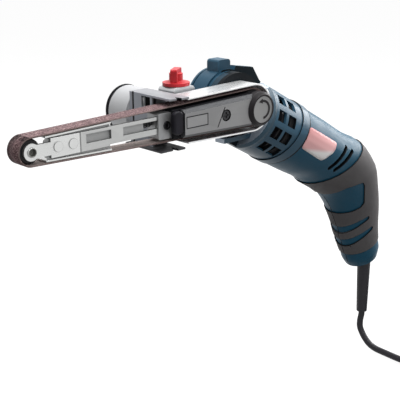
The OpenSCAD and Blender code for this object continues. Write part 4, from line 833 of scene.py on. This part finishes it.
ring = densed(rounded(LABEL, LABEL_ROUND, LABEL_ARC), LABEL_GRID)
flat = list(ring)
xs = [x / LABEL_GRID for x, z in LABEL]
zs = [z / LABEL_GRID for x, z in LABEL]
for i in range(math.floor(min(xs)), math.ceil(max(xs)) + 1):
    for k in range(math.floor(min(zs)), math.ceil(max(zs)) + 1):
        q = Vector((i * LABEL_GRID, k * LABEL_GRID))
        if inside(q, ring) and min((q - e).length for e in ring) > LABEL_CLEAR:
            flat.append(q)
edges = [(i, (i + 1) % len(ring)) for i in range(len(ring))]
points, _, tris, _, _, _ = delaunay_2d_cdt(flat, edges, [], 1, 1e-4)
wall = BVHTree.FromPolygons([v.co for v in nodes["body_left"].data.vertices],
                            [p.vertices for p in nodes["body_left"].data.polygons])
bm = bmesh.new()
tops, lows = [], []
for q in points:
    at, normal, _, _ = wall.ray_cast(Vector((q.x * MM, RAY_FROM_Y, q.y * MM)), Vector((0, 1, 0)))
    tops.append(bm.verts.new(at + normal * LABEL_PROUD))
    lows.append(bm.verts.new(at - normal * LABEL_PROUD))
for t in tris:
    bm.faces.new([tops[i] for i in t]).smooth = True
    bm.faces.new([lows[i] for i in reversed(t)])
for a, b in edges:
    bm.faces.new([tops[b], tops[a], lows[a], lows[b]])
bmesh.ops.recalc_face_normals(bm, faces=bm.faces)
label_mesh = bpy.data.meshes.new("plain_label")
bm.to_mesh(label_mesh)
bm.free()
plain_label = bpy.data.objects.new("plain_label", label_mesh)
scene.collection.objects.link(plain_label)
printed = Nodes("label_print")
dot = printed.tree.nodes.new("ShaderNodeVectorMath")
dot.operation = "DOT_PRODUCT"
printed.link(printed.coord, dot.inputs[0])
dot.inputs[1].default_value = LABEL_FADE_WAY
ink = printed.ramp(printed.span(dot.outputs["Value"], 0, 1, *LABEL_FADE), [
    (0, lin(216, 146, 147)), (0.3, lin(236, 176, 176)), (0.6, lin(244, 190, 190)),
    (0.72, lin(254, 252, 250))])
speck = printed.noise(900, 3)
ink = printed.mix(printed.span(speck, 0, 0.12), ink, lin(236, 205, 204))
label_mesh.materials.append(printed.done(ink, printed.span(speck, 0.4, 0.55),
                                         printed.bump(speck, 0.2, 0.00002), Specular_IOR_Level=0.12))
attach(plain_label, BODY_OF["body_left"])

# Floor, world and lights: white where the camera or a mirror sees them, dim as a source of light
FLOOR_Z = -0.1341
FLOOR_HALF = 9
FLOOR_GREY = (0.16, 0.16, 0.16, 1)
FLOOR_GLOW = 0.93
WORLD_LIGHT = 0.28
WORLD_SEEN = 1.0


def split_rays(tree, light, seen, out):
    """Shader seen for rays from the camera, a mirror or glass, and shader light for the rest."""
    path = tree.nodes.new("ShaderNodeLightPath")
    fac = path.outputs["Is Camera Ray"]
    for kind in ("Is Glossy Ray", "Is Transmission Ray"):
        top = tree.nodes.new("ShaderNodeMath")
        top.operation = "MAXIMUM"
        tree.links.new(fac, top.inputs[0])
        tree.links.new(path.outputs[kind], top.inputs[1])
        fac = top.outputs[0]
    mix = tree.nodes.new("ShaderNodeMixShader")
    tree.links.new(fac, mix.inputs["Fac"])
    tree.links.new(light, mix.inputs[1])
    tree.links.new(seen, mix.inputs[2])
    tree.links.new(mix.outputs[0], out.inputs["Surface"])


floor_mesh = bpy.data.meshes.new("floor")
corners = [(-1, -1), (1, -1), (1, 1), (-1, 1)]
floor_mesh.from_pydata([(x * FLOOR_HALF, y * FLOOR_HALF, FLOOR_Z) for x, y in corners], [], [(0, 1, 2, 3)])
floor = bpy.data.objects.new("floor", floor_mesh)
scene.collection.objects.link(floor)
floor_white = bpy.data.materials.new("floor_white")
floor_white.use_nodes = True
tree = floor_white.node_tree
tree.nodes.clear()
surface = tree.nodes.new("ShaderNodeOutputMaterial")
dull = tree.nodes.new("ShaderNodeBsdfDiffuse")
dull.inputs["Color"].default_value = FLOOR_GREY
glow = tree.nodes.new("ShaderNodeEmission")
glow.inputs["Strength"].default_value = FLOOR_GLOW
both = tree.nodes.new("ShaderNodeAddShader")
tree.links.new(dull.outputs[0], both.inputs[0])
tree.links.new(glow.outputs[0], both.inputs[1])
split_rays(tree, dull.outputs[0], both.outputs[0], surface)
floor_mesh.materials.append(floor_white)

world = bpy.data.worlds.new("studio")
scene.world = world
world.use_nodes = True
tree = world.node_tree
tree.nodes.clear()
skies = []
for strength in (WORLD_LIGHT, WORLD_SEEN):
    sky = tree.nodes.new("ShaderNodeBackground")
    sky.inputs["Color"].default_value = (1, 1, 1, 1)
    sky.inputs["Strength"].default_value = strength
    skies.append(sky.outputs[0])
split_rays(tree, skies[0], skies[1], tree.nodes.new("ShaderNodeOutputWorld"))


def softbox(name, place, target, size, power):
    d = bpy.data.lights.new(name, "AREA")
    d.shape = "RECTANGLE"
    d.size, d.size_y = size
    d.energy = power
    o = bpy.data.objects.new(name, d)
    o.location = place
    o.visible_camera = False
    o.rotation_euler = (Vector(target) - Vector(place)).to_track_quat("-Z", "Y").to_euler()
    scene.collection.objects.link(o)


softbox("top_box", (0.05, 0.1, 1.2), (-0.1, 0, 0), (1.0, 0.8), 19)
softbox("rim_box", (0.95, -0.05, 0.4), (-0.05, 0, 0.05), (0.8, 0.6), 10)
softbox("side_box", (-0.6, -1.15, 1.0), (-0.1, 0, 0.02), (0.9, 0.9), 6)
scene.view_settings.view_transform = "Standard"
